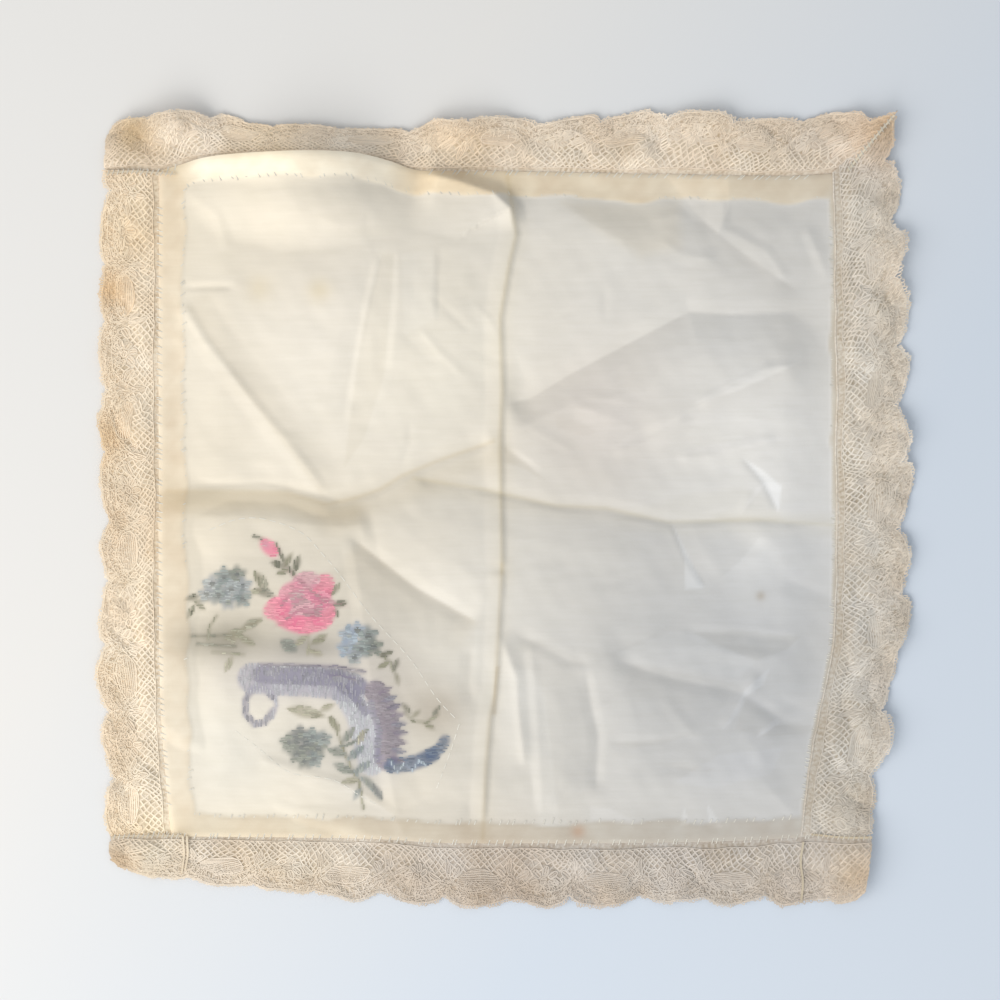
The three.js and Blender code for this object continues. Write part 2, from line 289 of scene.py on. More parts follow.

# Spots of age, and areas of painted light and shade: what the cloth's colour is multiplied by at the middle
# of each.
# along the lace: brown stains, and paler and greyer areas that are painted light and shade; the dark spot at
# the top left corner is partly the painted shade of the curled lace
# broad painted light and shade on the silk
STAINS_AND_PAINTED_LIGHT = table("""
    x y reach colour
    # spots on the silk
    -86.5 76 4.5 0.985,0.955,0.88
    -65.5 75.2 4 0.98,0.94,0.84
    24.5 -113.4 2.4 0.93,0.74,0.64
    88 -31 1.6 0.8,0.74,0.66
    # along the lace
    -139.3 76 7 0.9,0.78,0.62
    -141 24 8 0.92,0.82,0.68
    -131 131 9 0.7,0.61,0.46
    -84 131 14 1.1,1.07,0.99
    -20 126 14 0.95,0.9,0.82
    103 126 16 0.9,0.89,0.89
    127 126 13 0.92,0.86,0.83
    -4 -129 18 0.9,0.85,0.8
    -62 -127 16 1.1,1.08,1.02
    -90 -126 18 1.17,1.14,1.06
    -124 -123 16 1.2,1.19,1.1
    -137 -125 8 0.86,0.75,0.62
    -134 98 16 0.98,0.93,0.85
    -133 0 18 0.92,0.89,0.85
    -134 -100 20 0.95,0.95,0.95
    122 -128 10 0.93,0.84,0.72
    132 132 8 0.92,0.83,0.7
    # broad areas of the silk
    66 -66 72 0.78,0.805,0.85
    50 92 32 1.05,1.05,1.05
    -24 52 30 1.19,1.19,1.17
    92 22 34 1.17,1.17,1.17
    70 6 26 1.06,1.06,1.06
    -22 -60 28 1.1,1.11,1.12
    -72 56 40 1.06,1.07,1.1
    30 30 24 0.99,0.965,0.97
    84 -26 24 1.09,1.09,1.09
    -22 -30 18 1.08,1.08,1.08
    -104 44 22 0.96,0.96,0.96
    -59 74 26 1.05,1.05,1.06
    -98 -82 28 1.0,1.04,1.1
    -108 -106 12 0.97,0.97,0.98
""")


def smooth_line(points):
    """A function from shares of the length to points on a smooth line through the given ones."""
    given = np.array(points, float)
    padded = np.vstack([2 * given[0] - given[1], given, 2 * given[-1] - given[-2]])
    before, start, end, after = padded[:-3], padded[1:-2], padded[2:-1], padded[3:]
    gap_in, gap, gap_out = (
        np.sqrt(np.linalg.norm(far - near, axis=1, keepdims=True))
        for near, far in ((before, start), (start, end), (end, after))
    )
    leave = gap * ((start - before) / gap_in - (end - before) / (gap_in + gap) + (end - start) / gap)
    arrive = gap * ((end - start) / gap - (after - start) / (gap + gap_out) + (after - end) / gap_out)
    t = np.linspace(0, 1, CURVE_STEPS, endpoint=False)[:, None, None]
    curve = (
        (2 * t**3 - 3 * t**2 + 1) * start
        + (t**3 - 2 * t**2 + t) * leave
        + (3 * t**2 - 2 * t**3) * end
        + (t**3 - t**2) * arrive
    )
    path = np.vstack([curve.transpose(1, 0, 2).reshape(-1, 2), given[-1]])
    run = np.concatenate([[0], np.cumsum(np.linalg.norm(np.diff(path, axis=0), axis=1))])

    def at(share):
        where = np.clip(share, 0, 1) * run[-1]
        return np.stack([np.interp(where, run, path[:, 0]), np.interp(where, run, path[:, 1])], -1)

    return at


def plan_between(edges):
    """A plan shape between four edges, blended from all of them."""
    top, bottom, left, right = (smooth_line(edges[side]) for side in ("top", "bottom", "left", "right"))

    def at(u, v):
        along, up = u[..., None], v[..., None]
        across = bottom(u) * (1 - up) + top(u) * up
        upwards = left(v) * (1 - along) + right(v) * along
        low = bottom(0.0) * (1 - along) + bottom(1.0) * along
        high = top(0.0) * (1 - along) + top(1.0) * along
        return across + upwards - (low * (1 - up) + high * up)

    return at


def smoothstep(value, low, high):
    share = np.clip((value - low) / (high - low), 0, 1)
    return share * share * (3 - 2 * share)


def nearest_on_line(line, x, y):
    """How far off a line is, whether a place lies to its left, and how far along it the nearer end is."""
    distance = np.full(x.shape, np.inf)
    on_left = np.zeros(x.shape, bool)
    at = np.zeros(x.shape)
    run = 0.0
    for (start_x, start_y), (end_x, end_y) in zip(line, line[1:]):
        along_x, along_y = end_x - start_x, end_y - start_y
        length = math.hypot(along_x, along_y)
        share = ((x - start_x) * along_x + (y - start_y) * along_y) / length**2
        held = np.clip(share, 0, 1)
        off_x = x - start_x - held * along_x
        off_y = y - start_y - held * along_y
        off = np.hypot(off_x, off_y)
        nearer = off < distance
        distance = np.where(nearer, off, distance)
        on_left = np.where(nearer, along_x * off_y - along_y * off_x > 0, on_left)
        at = np.where(nearer, run + held * length, at)
        run += length
    return distance, on_left, np.minimum(at, run - at)


def crease_height(crease, x, y, taper, sharpness):
    """A crease is sharp along its line and eases out to each side and towards its ends."""
    line = np.array(crease["line"])
    reach = max(crease["left"], crease["right"])
    low, high = line.min(0) - reach, line.max(0) + reach
    near = (x > low[0]) & (x < high[0]) & (y > low[1]) & (y < high[1])
    distance, on_left, from_end = nearest_on_line(crease["line"], x[near], y[near])
    nearness = np.clip(1 - distance / np.where(on_left, crease["left"], crease["right"]), 0, None)
    height = np.zeros(x.shape)
    height[near] = crease["height"] * nearness**sharpness * smoothstep(from_end, 0, taper)
    return height


def puff_height(puff, x, y):
    off_x = (x - puff["x"]) / puff["reach_x"]
    off_y = (y - puff["y"]) / puff["reach_y"]
    return puff["height"] * np.clip(1 - off_x**2 - off_y**2, 0, None) ** 2


def patch_outline():
    around = PATCH_EDGE["left"] + PATCH_EDGE["top"][1:] + PATCH_EDGE["right"][::-1][1:]
    return around + PATCH_EDGE["bottom"][::-1][1:]


def inside_outline(outline, x, y):
    inside = np.zeros(x.shape, bool)
    for (start_x, start_y), (end_x, end_y) in zip(outline, outline[1:] + outline[:1]):
        if start_y == end_y:
            continue
        spans = (end_y > y) != (start_y > y)
        edge_x = start_x + (end_x - start_x) * (y - start_y) / (end_y - start_y)
        inside ^= spans & (x < edge_x)
    return inside


def height_over_patch(x, y):
    outline = patch_outline()
    distance = nearest_on_line(outline, x, y)[0]
    distance = np.where(inside_outline(outline, x, y), 0, distance)
    raised = 1 - smoothstep(distance, PATCH_MARGIN, PATCH_MARGIN + PATCH_SLOPE)
    return (PATCH_THICKNESS + PATCH_CLEARANCE) * raised


def soft_floor(height):
    """Keeps a height above zero and rounds the place where it would go below."""
    return (height + np.sqrt(height**2 + VALLEY_SOFTNESS**2)) / 2


def folded_height(x, y):
    """Puffs and main folds, before the surface below stops them."""
    folds = sum(crease_height(fold, x, y, CREASE_TAPER, FOLD_SHARPNESS) for fold in FOLDS)
    return sum(puff_height(puff, x, y) for puff in PUFFS) + FOLD_SHARE * folds


def cloth_height(x, y):
    """Silk and lace above the surface, from the puffs, the main folds and the patch under the silk."""
    return np.maximum(soft_floor(folded_height(x, y)), height_over_patch(x, y))


# Slight unevenness as waves in many directions
RIPPLES = table("""
    wavelength height count
    46 0.12 7
    21 0.07 9
    9 0.025 12
""")
WAVE_SPREAD = (0.7, 1.4)


def ripple_waves():
    waves = []
    for ripple in RIPPLES:
        for _ in range(ripple["count"]):
            turn = random.uniform(0, math.tau)
            number = math.tau / (ripple["wavelength"] * random.uniform(*WAVE_SPREAD))
            phase = random.uniform(0, math.tau)
            waves.append((number * math.cos(turn), number * math.sin(turn), phase, ripple["height"]))
    return waves


WAVES = ripple_waves()


def ripple_height(x, y):
    return sum(height * np.sin(by_x * x + by_y * y + phase) for by_x, by_y, phase, height in WAVES)


CRUMPLE_COUNT = 150
CRUMPLE_AREA = (-112, 108)
CRUMPLE_TURNS = [0.0, math.pi / 2, math.pi / 4, -math.pi / 4]
CRUMPLE_TURN_SPREAD = 0.35
CRUMPLE_HALF = (4, 13)
CRUMPLE_BEND = 0.18
CRUMPLE_HEIGHT = 0.15
CRUMPLE_REACH = (1.5, 5)


def crumple():
    """A short faint crease that runs about with the threads, across them or slantwise."""
    middle = random.uniform(*CRUMPLE_AREA, 2)
    turn = random.choice(CRUMPLE_TURNS) + random.normal(0, CRUMPLE_TURN_SPREAD)
    off = random.uniform(*CRUMPLE_HALF) * np.array([math.cos(turn), math.sin(turn)])
    bend = random.uniform(-CRUMPLE_BEND, CRUMPLE_BEND) * np.array([-off[1], off[0]])
    line = [middle - off, middle + bend, middle + off]
    height = random.normal(0, CRUMPLE_HEIGHT)
    left, right = random.uniform(*CRUMPLE_REACH, 2)
    return dict(height=height, left=left, right=right, line=line)


CRUMPLES = [crumple() for _ in range(CRUMPLE_COUNT)]


def silk_billow(x, y):
    """Inside its hem the silk lies a little off the surface, so that its valleys show."""
    from_edge = np.minimum.reduce([nearest_on_line(edge, x, y)[0] for edge in SILK_EDGE.values()])
    return BILLOW * smoothstep(from_edge, HEM_WIDTH / 2, BILLOW_REACH)


def silk_height(x, y):
    """The thin silk's upper face, with its pressed creases."""
    height = folded_height(x, y) + puff_height(CURL, x, y) + silk_billow(x, y)
    height = height + SILK_RIPPLE * ripple_height(x, y)
    for crease in CREASES + CRUMPLES:
        height = height + CREASE_SHARE * crease_height(crease, x, y, FINE_TAPER, CREASE_SHARPNESS)
    return np.maximum(soft_floor(height), height_over_patch(x, y)) + SILK_LIFT


def hem_height(x, y):
    return silk_height(x, y) + HEM_SEAT * HEM_RISE


def lace_height(x, y, out=1.0):
    """The lace lies close along its sewn line and looser further out."""
    loose = LACE_RIPPLE * np.abs(ripple_height(x, y)) + LACE_LIFT
    return cloth_height(x, y) + smoothstep(out, 0, LACE_SEATED) * loose


# Colours laid on colours
# A tint is what a material's own colour is multiplied by. A cover says how far each place takes a new one.


def tinted(tint, cover, colour):
    """A tint multiplied by a colour."""
    return tint * (1 - cover[..., None] * (1 - np.array(colour)))


def painted(tint, cover, colour):
    """A tint with a colour over it in its place."""
    return tint * (1 - cover[..., None]) + np.array(colour) * cover[..., None]


def mottle(x, y, scale, depth):
    """A colour that varies a little from place to place."""
    return 1 + ripple_height(scale * x, scale * y)[..., None] * np.array(depth)


# Stains, and painted light and shade, as soft round spots.
def stain_and_light_tint(x, y):
    tint = np.ones(x.shape + (3,))
    for spot in STAINS_AND_PAINTED_LIGHT:
        off = ((x - spot["x"]) ** 2 + (y - spot["y"]) ** 2) / spot["reach"] ** 2
        tint = tinted(tint, np.exp(-off), spot["colour"])
    return tint


# Painted light and shade on flat faces between creases, each lighter or darker than the silk round them:
# closed lines.
PAINTED_FACES = table("""
    soft colour line
    # top left quarter
    0.7 0.955,0.95,0.935 -43.9,88 -50.4,63 -55.3,29 -57,14 -50,24 -43,46 -39.6,88
    0.8 1.025,1.03,1.04 -37,88 -26,90 -24,66 -36,60
    # top right quarter
    3 1.0,0.975,0.925 20,106 60,107 60,90 46,87 32,96
    0.5 0.94,0.93,0.91 -1.6,21.4 6,15.6 12.8,9.3 5.3,13.4 -0.4,15.6
    0.7 0.97,0.965,0.955 16,31.8 21.4,30.9 31.4,26.4 28,24.7 17.5,27.2
    0.6 1.035,1.035,1.04 60,28.6 84,29.8 96,29 84,31.2 66,31
    0.7 1.1,1.09,1.08 55,116 77,115 77.4,105 73,95 66,102
    0.6 1.06,1.06,1.06 64,35.6 80,40.6 102,50.4 90,48.4 78,43.8
    0.8 1.03,1.03,1.03 36,20.4 50,25 69,36.4 56,31.5 44,26.4
    0.6 1.04,1.04,1.045 59,18.6 79,19.4 96,23.8 84,23.8 70,21.6
    0.5 1.13,1.145,1.17 81.8,17.4 88.8,8.5 94.6,-1.8 95.4,7.2 89.2,12.6
    2 0.965,0.96,0.94 42,-2 62,4 82,7 91,3 96,-4.6 70,-5
    0.5 1.06,1.06,1.07 81.6,-2 86,6.4 89.4,8 87.2,4.6
    # lower right quarter
    0.5 1.12,1.135,1.16 57.4,-5.6 61.4,-18 61.8,-28.8 68.4,-28.2 63.6,-18.4
    0.5 0.94,0.935,0.92 64,-43.5 80,-43 102,-45.2 97.4,-49.6 86.6,-53.4 73,-48.6
    0.6 1.03,1.035,1.04 37.5,-51 56,-43.6 66,-44 86,-54 80,-59.6 44,-54
    0.5 1.09,1.1,1.12 91,-56.4 82.4,-63.4 81.2,-66.8 89,-62
    0.5 1.06,1.065,1.08 81,-66.6 74.4,-77.6 77.8,-75 82.2,-68
    0.5 0.96,0.955,0.945 83,-66.2 94,-74.8 86.6,-79.6 79,-77
    0.4 1.06,1.065,1.08 86.8,-80.2 94.6,-75.8 93.6,-73.8 88,-77.6
    0.5 0.945,0.94,0.93 93.4,-76 106,-76.2 111,-78 104,-79.6 88.6,-80
    0.5 1.03,1.035,1.05 58,-96 72,-98 92,-93 96,-84 74,-86
    0.5 0.97,0.965,0.955 51,-89.4 62,-88.8 74,-92 66,-92.6
    0.5 0.965,0.96,0.95 33.5,-82.3 50,-80.9 64.6,-78.8 54,-82.6 44,-83.6
    0.7 1.04,1.045,1.05 2.4,-57 4.2,-69 5.8,-84 8,-95 11.6,-113 18,-113 13,-66 8,-56
    0.6 1.05,1.055,1.07 28.6,-104.2 36,-105.4 46,-111 29,-110
    0.4 1.11,1.12,1.14 61.4,-104.4 63.6,-111.4 60.4,-111
    0.4 1.11,1.12,1.14 69.6,-103.6 75,-111.8 70.2,-111.4
""")

# Painted light and shade along pressed edges, on a face to their left, which fades away from them.
PAINTED_EDGES = table("""
    reach colour line
    # top left quarter
    15 0.955,0.945,0.925 -113.6,72 -92,40.6 -63.7,2
    10 0.93,0.91,0.87 -60,0.2 -77,4.6 -120,5.2
    # top right quarter
    12 1.035,1.035,1.03 -1,36 8,38 21,46 42,57 63,68
    18 0.95,0.945,0.94 63,68 42,57 21,46 8,38 -1,36
    9 1.04,1.04,1.04 65,103 77,92 103,74
    9 0.955,0.95,0.945 103,74 77,92 65,103
    8 0.97,0.965,0.96 102,50 80,40.4 64,35.4
    4 0.94,0.93,0.9 70,-5 97,-4.4 116,-5
    3 1.05,1.05,1.05 116,-6.2 97,-5.4 70,-6
    # lower right quarter
    14 1.04,1.045,1.05 89,-9 80.5,-19.3 72,-27
    13 0.96,0.955,0.945 83,-65.8 80,-61.5 40,-54
    12 0.97,0.965,0.955 29,-54 12,-47.4 1.6,-44.5
    # lower left quarter
    16 0.94,0.92,0.885 -9,-41 -31,-29 -54,-11
    10 1.04,1.04,1.04 -54,-11 -31,-29 -9,-41
    8 1.04,1.045,1.05 -11,-40 -12,-48 -13,-62
    5 1.05,1.055,1.07 -34.6,-117 -40,-107.5 -50,-100.5 -64,-92.6
    9 0.95,0.94,0.92 -64,-92.6 -50,-100.5 -40,-107.5 -34.6,-117
""")
PAINTED_EDGE_SOFTNESS = 0.5


# Painted light and shade of the faces and edges, as a tint.
def painted_facet_light(x, y):
    tint = np.ones(x.shape + (3,))
    for painted_face in PAINTED_FACES:
        outline = painted_face["line"]
        off = nearest_on_line(outline + outline[:1], x, y)[0]
        depth = np.where(inside_outline(outline, x, y), off, -off)
        tint = tinted(tint, smoothstep(depth, -painted_face["soft"], painted_face["soft"]), painted_face["colour"])
    for edge in PAINTED_EDGES:
        distance, on_left, from_end = nearest_on_line(edge["line"], x, y)
        off = np.where(on_left, distance, -distance)
        cover = smoothstep(off, -PAINTED_EDGE_SOFTNESS, PAINTED_EDGE_SOFTNESS) * np.clip(1 - off / edge["reach"], 0, 1)
        tint = tinted(tint, cover * smoothstep(from_end, 0, FINE_TAPER), edge["colour"])
    return tint


# Age and wear along the folds, and painted shade in the wide bands just below the horizontal folds: what the
# silk's colour is multiplied by on each line.
WEAR_AND_SHADE_LINES = table("""
    reach colour line
    0.8 0.93,0.9,0.83 -0.4,117 2.8,95 0.4,85 -2.8,65.5 -2.1,41 -2.8,24 -2.1,-23
    0.8 0.94,0.91,0.85 -2.1,-20 -3.2,-40 -4.6,-65 -6.3,-73 -7.7,-90 -8.8,-116
    0.7 0.86,0.81,0.73 -3.6,-56 -4.4,-64 -4.8,-72
    0.8 0.94,0.91,0.85 -119,5.6 -77,5 -63,1 -54,3 -45,6 -37,11 -25,16 -5,23
    4.6 0.88,0.85,0.79 -119,2 -77,1.4 -63,-2.4 -54,-2
    6 0.93,0.91,0.87 -60,-3.4 -42,3 -22,11.6 -5,18
    0.8 0.95,0.93,0.87 -33,10 -11,6.6 17,0.4 34,-0.4 56,-5.3 87,-4.6 116,-6.3
    3.4 0.985,0.975,0.95 -33,8 -11,4.6 17,-1 34,-2 56,-7 87,-6.6 116,-8
""")
# The first two of them also darken the silk softly to their sides.
SOFT_SIDE_BANDS = table("""
    reach colour
    4 0.985,0.975,0.945
    3.4 0.985,0.975,0.95
""")
WEAR_AND_SHADE_LINES += [dict(wear_and_shade, **soft) for wear_and_shade, soft in zip(WEAR_AND_SHADE_LINES, SOFT_SIDE_BANDS)]
# Painted light on the silk: warmer to the left, cooler and dimmer to the right, faded across the x span that
# follows.
SILK_PAINTED_WARM_LIGHT = (1.0, 1.0, 0.91)
SILK_PAINTED_COOL_DIM_LIGHT = (0.87, 0.93, 0.98)
LEFT_TO_RIGHT = (-120, 110)


def silk_tint(x, y):
    """The silk's painted light, warmer to the left and cooler and dimmer to the right, its wear and painted
    shade along the folds, its stains, and painted light and shade on its faces.
    """
    tint = painted(np.array(SILK_PAINTED_WARM_LIGHT), smoothstep(x, *LEFT_TO_RIGHT), SILK_PAINTED_COOL_DIM_LIGHT)
    for wear_and_shade in WEAR_AND_SHADE_LINES:
        off = nearest_on_line(wear_and_shade["line"], x, y)[0] / wear_and_shade["reach"]
        tint = tinted(tint, np.exp(-(off**2)), wear_and_shade["colour"])
    return tint * stain_and_light_tint(x, y) * painted_facet_light(x, y)


# Meshes from arrays


def grid_shape(points, tints):
    """A sheet through a grid of points."""
    rows, columns = points.shape[:2]
    index = np.arange(rows * columns).reshape(rows, columns)
    quads = np.stack([index[:-1, :-1], index[:-1, 1:], index[1:, 1:], index[1:, :-1]], -1).reshape(-1, 4)
    return points.reshape(-1, 3), quads, tints.reshape(-1, 3)


def ribbons(lines, width, tints):
    """Flat threads along lines, an array of threads by points by 3, with a colour each."""
    threads, steps = lines.shape[:2]
    along = np.gradient(lines, axis=1)
    level = np.hypot(along[..., 0], along[..., 1]) + TINY
    across = np.stack([-along[..., 1] / level, along[..., 0] / level, np.zeros_like(level)], -1)
    points = lines[:, :, None, :] + across[:, :, None, :] * np.array([[-width / 2], [width / 2]])
    index = np.arange(threads * steps * 2).reshape(threads, steps, 2)
    near, far = index[:, :-1], index[:, 1:]
    quads = np.stack([near[..., 0], far[..., 0], far[..., 1], near[..., 1]], -1).reshape(-1, 4)
    colours = np.broadcast_to(tints[:, None, None, :], points.shape)
    return points.reshape(-1, 3), quads, colours.reshape(-1, 3)


def joined(shapes):
    """Several shapes as one."""
    points, quads, tints, start = [], [], [], 0
    for shape_points, shape_quads, shape_tints in shapes:
        points.append(shape_points)
        quads.append(shape_quads + start)
        tints.append(shape_tints)
        start += len(shape_points)
    return np.concatenate(points), np.concatenate(quads), np.concatenate(tints)


def row_offset():
    """From the tables' coordinates to the row's, found at two corners of the patch."""
    low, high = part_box("embroidered_patch")
    east = max(x for x, _ in patch_outline())
    south = min(y for _, y in patch_outline())
    return np.array([high.x / MM - east, low.y / MM - south, 0])


OFFSET = row_offset()


def make_piece(name, shape, material, replaced=()):
    points, quads, tints = shape
    mesh = bpy.data.meshes.new(name)
    mesh.vertices.add(len(points))
    mesh.vertices.foreach_set("co", ((points + OFFSET) * MM).ravel())
    mesh.loops.add(quads.size)
    mesh.loops.foreach_set("vertex_index", quads.ravel())
    mesh.polygons.add(len(quads))
    mesh.polygons.foreach_set("loop_start", np.arange(len(quads)) * 4)
    mesh.polygons.foreach_set("use_smooth", np.ones(len(quads), bool))
    mesh.update(calc_edges=True)
    colours = mesh.color_attributes.new(TINT, "FLOAT_COLOR", "POINT")
    colours.data.foreach_set("color", np.column_stack([tints, np.ones(len(tints))]).ravel())
    mesh.materials.append(material)
    piece = bpy.data.objects.new(name, mesh)
    bpy.context.collection.objects.link(piece)
    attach(piece, "root")
    if replaced:
        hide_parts(*replaced)
    return piece


# Materials


def start_material(name, settings):
    """A material with one shader, and its fixed values set on the shader's own sockets."""
    material = bpy.data.materials.new(name)
    material.use_nodes = True
    shader = material.node_tree.nodes["Principled BSDF"]
    for socket, value in settings.items():
        shader.inputs[socket].default_value = value
    return material, shader


def add_node(material, kind, **inputs):
    """A node whose inputs are fixed, or linked where they are given another node's socket."""
    node = material.node_tree.nodes.new(kind)
    for name, value in inputs.items():
        if isinstance(value, bpy.types.NodeSocket):
            material.node_tree.links.new(value, node.inputs[name])
        else:
            node.inputs[name].default_value = value
    return node


def noise(material, scale, detail):
    """Noise whose grains are as long and wide as the scale says, in grains a metre."""
    place = add_node(material, "ShaderNodeTexCoord").outputs["Object"]
    scaled = add_node(material, "ShaderNodeMapping", Vector=place, Scale=scale).outputs["Vector"]
    return add_node(material, "ShaderNodeTexNoise", Vector=scaled, Scale=1.0, Detail=detail).outputs["Fac"]


def ramp(material, value, dark, light, low, high):
    node = add_node(material, "ShaderNodeValToRGB", Fac=value)
    for element, position, colour in zip(node.color_ramp.elements, (low, high), (dark, light)):
        element.position = position
        element.color = (*colour, 1)
    return node.outputs["Color"]


def combined(material, operation, first, second):
    """Two values or colours, added or multiplied."""
    node = add_node(material, "ShaderNodeVectorMath")
    node.operation = operation
    for source, socket in zip((first, second), node.inputs):
        material.node_tree.links.new(source, socket)
    return node.outputs["Vector"]


def fabric(name, settings, layers):
    """A material whose colour is its piece's own tint, multiplied by layers of noise.

    A woven layer is noise both ways of the cloth, and a layer with a bump also roughens the surface.
    """
    material, shader = start_material(name, settings)
    tint = add_node(material, "ShaderNodeVertexColor")
    tint.layer_name = TINT
    colour = tint.outputs["Color"]
    for layer in layers:
        value = noise(material, layer["scale"], layer["detail"])
        if layer["woven"]:
            x, y, z = layer["scale"]
            value = combined(material, "ADD", value, noise(material, (y, x, z), layer["detail"]))
        ends = (layer[key] for key in ("dark", "light", "low", "high"))
        colour = combined(material, "MULTIPLY", colour, ramp(material, value, *ends))
        if layer["bump"]:
            strength, depth = layer["bump"], layer["depth"]
            bump = add_node(material, "ShaderNodeBump", Strength=strength, Distance=depth, Height=value)
            material.node_tree.links.new(bump.outputs["Normal"], shader.inputs["Normal"])
    material.node_tree.links.new(colour, shader.inputs["Base Color"])
    return material


def silk_material():
    """Aged ground, slubs and streaks along the weft, and a crinkle that only bumps."""
    settings = {"Roughness": 0.5, "Alpha": 0.88, "Sheen Weight": 0.15, "Sheen Roughness": 0.4}
    return fabric("sheer_silk", settings, table("""
        scale detail woven dark light low high bump depth
        14,14,14 4 0 0.84,0.752,0.67 0.88,0.8,0.735 0.3 0.7 0 0
        55,1200,1 3 0 0.984,0.982,0.974 1,1,1 0.3 0.6 0 0
        75,330,1 4 0 0.965,0.965,0.96 1,1,1 0.35 0.65 0 0
        90,120,90 6 0 1,1,1 1,1,1 0 1 0.22 0.0005
    """))


def lace_material():
    """Aged ground and the twist of the thread."""
    return fabric("ecru_lace_thread", {"Roughness": 0.85, "Sheen Weight": 0.1}, table("""
        scale detail woven dark light low high bump depth
        45,45,45 4 0 0.97,0.88,0.75 1,0.95,0.84 0.3 0.7 0 0
        2200,2200,2200 3 0 0.94,0.93,0.9 1,1,1 0.3 0.7 0.15 0.0002
    """))


def web_material():
    return fabric("sheer_lace_web", {"Roughness": 0.9, "Alpha": 0.8}, table("""
        scale detail woven dark light low high bump depth
        950,950,950 2 0 0.81,0.71,0.57 1,0.94,0.81 0.35 0.62 0 0
    """))


def thread_material():
    return fabric("sewing_thread", {"Roughness": 0.7, "Sheen Weight": 0.15}, table("""
        scale detail woven dark light low high bump depth
        900,2600,900 3 0 0.84,0.84,0.84 1,1,1 0.3 0.7 0.3 0.0002
    """))


def patch_material():
    return fabric("patch_ground_cloth", {"Roughness": 0.9}, table("""
        scale detail woven dark light low high bump depth
        120,1500,1 3 1 0.78,0.74,0.66 0.88,0.85,0.79 0.75 1 0.4 0.0003
    """))


# The floor's painted light: warmer and brighter to the left, cooler and dimmer to the right, across a turned
# fade.
FLOOR_FADE = 0.2
FLOOR_TURN = 0.62
FLOOR_MIDDLE = (0.5, 0, 0)
FLOOR_PAINTED_WARM_LIGHT = (0.772, 0.755, 0.738)
FLOOR_PAINTED_COOL_DIM_LIGHT = (0.632, 0.69, 0.775)


def floor_material():
    """Pale, with painted light: warmer and brighter to the left, cooler and dimmer to the right."""
    material, shader = start_material("pale_floor", {"Roughness": 0.8})
    place = add_node(material, "ShaderNodeTexCoord").outputs["Object"]
    scale, turn = (1 / FLOOR_FADE, 1 / FLOOR_FADE, 1), (0, 0, FLOOR_TURN)
    mapping = dict(Vector=place, Scale=scale, Rotation=turn, Location=FLOOR_MIDDLE)
    across = add_node(material, "ShaderNodeMapping", **mapping).outputs["Vector"]
    fade = add_node(material, "ShaderNodeTexGradient", Vector=across).outputs["Fac"]
    colour = ramp(material, fade, FLOOR_PAINTED_WARM_LIGHT, FLOOR_PAINTED_COOL_DIM_LIGHT, 0, 1)
    material.node_tree.links.new(colour, shader.inputs["Base Color"])
    return material


# Silk panel


def silk_size():
    wide = SILK_EDGE["top"][-1][0] - SILK_EDGE["top"][0][0]
    high = SILK_EDGE["left"][-1][1] - SILK_EDGE["left"][0][1]
    return wide, high


def silk_shares():
    """Shares across the silk, closer together in the hems."""
    side = silk_size()[0]
    hem = HEM_WIDTH / side
    single = hem + HEM_STEP / side
    outer = np.linspace(0, hem, HEM_CELLS)
    middle = np.linspace(single, 1 - single, SILK_CELLS + 1)
    return np.concatenate([outer, middle, (1 - outer)[::-1]])


# A painted highlight on the top hem where its edge curls up, rising over the first x span and falling over
# the second.
CREST_PAINTED_HIGHLIGHT = (1.2, 1.18, 1.13)
CREST_RISES = (-122, -106)
CREST_FALLS = (-46, -30)
HEM_BLEND = 0.1
HEM_MOTTLE = (0.096, 0.128, 0.16)
HEM_MOTTLE_SCALE = 2.6


def hem_shares(u, v):
    """How far in from each edge a place lies, as a share of the hem there."""
    wide, high = silk_size()
    from_edge = {"left": u * wide, "right": (1 - u) * wide, "bottom": v * high, "top": (1 - v) * high}
    return {hem["side"]: from_edge[hem["side"]] / hem["width"] for hem in HEMS}


def hem_colour(u, v, x):
    """The hem's colour, blended from the nearest sides, whose tones include painted light and shade. It has
    a painted highlight where the top edge curls up.
    """
    weight = {side: 1 / (share + HEM_BLEND) ** 3 for side, share in hem_shares(u, v).items()}
    total = sum(weight.values())
    tones = {hem["side"]: np.array(hem["tone"]) for hem in HEMS}
    crest_highlight = smoothstep(x, *CREST_RISES) - smoothstep(x, *CREST_FALLS)
    tones["top"] = painted(tones["top"], crest_highlight, CREST_PAINTED_HIGHLIGHT)
    return sum((weight[side] / total)[..., None] * tone for side, tone in tones.items())


def silk_panel():
    shares = silk_shares()
    u, v = np.meshgrid(shares, shares)
    plan = plan_between(SILK_EDGE)(u, v)
    x, y = plan[..., 0], plan[..., 1]
    from_edge = np.minimum.reduce(list(hem_shares(u, v).values()))
    uneven = HEM_WAVER * ripple_height(x, y) / HEM_WIDTH
    in_hem = 1 - smoothstep(from_edge + uneven, 1, 1 + HEM_FADE)
    rolled = 1 - np.clip(from_edge / HEM_ROLL_SHARE, 0, 1)
    height = silk_height(x, y) + HEM_RISE * in_hem - HEM_ROLL * rolled**2
    hem_tone = hem_colour(u, v, x) * mottle(x, y, HEM_MOTTLE_SCALE, HEM_MOTTLE)
    tint = tinted(silk_tint(x, y), in_hem, hem_tone)
    return grid_shape(np.dstack([x, y, height]), design_tint(x, y, tint))


def patch_backing():
    shares = np.linspace(0, 1, PATCH_CELLS + 1)
    u, v = np.meshgrid(shares, shares)
    plan = plan_between(PATCH_EDGE)(u, v)
    points = np.dstack([plan, np.full(u.shape, PATCH_LIFT)])
    return grid_shape(points, np.ones(points.shape))


# Lace
# A place in a length of lace is (a, q): a counts scallops along it, with a nick at each whole number,
# and q is how far out from the sewn line it lies, in millimetres of a length 20 mm wide.


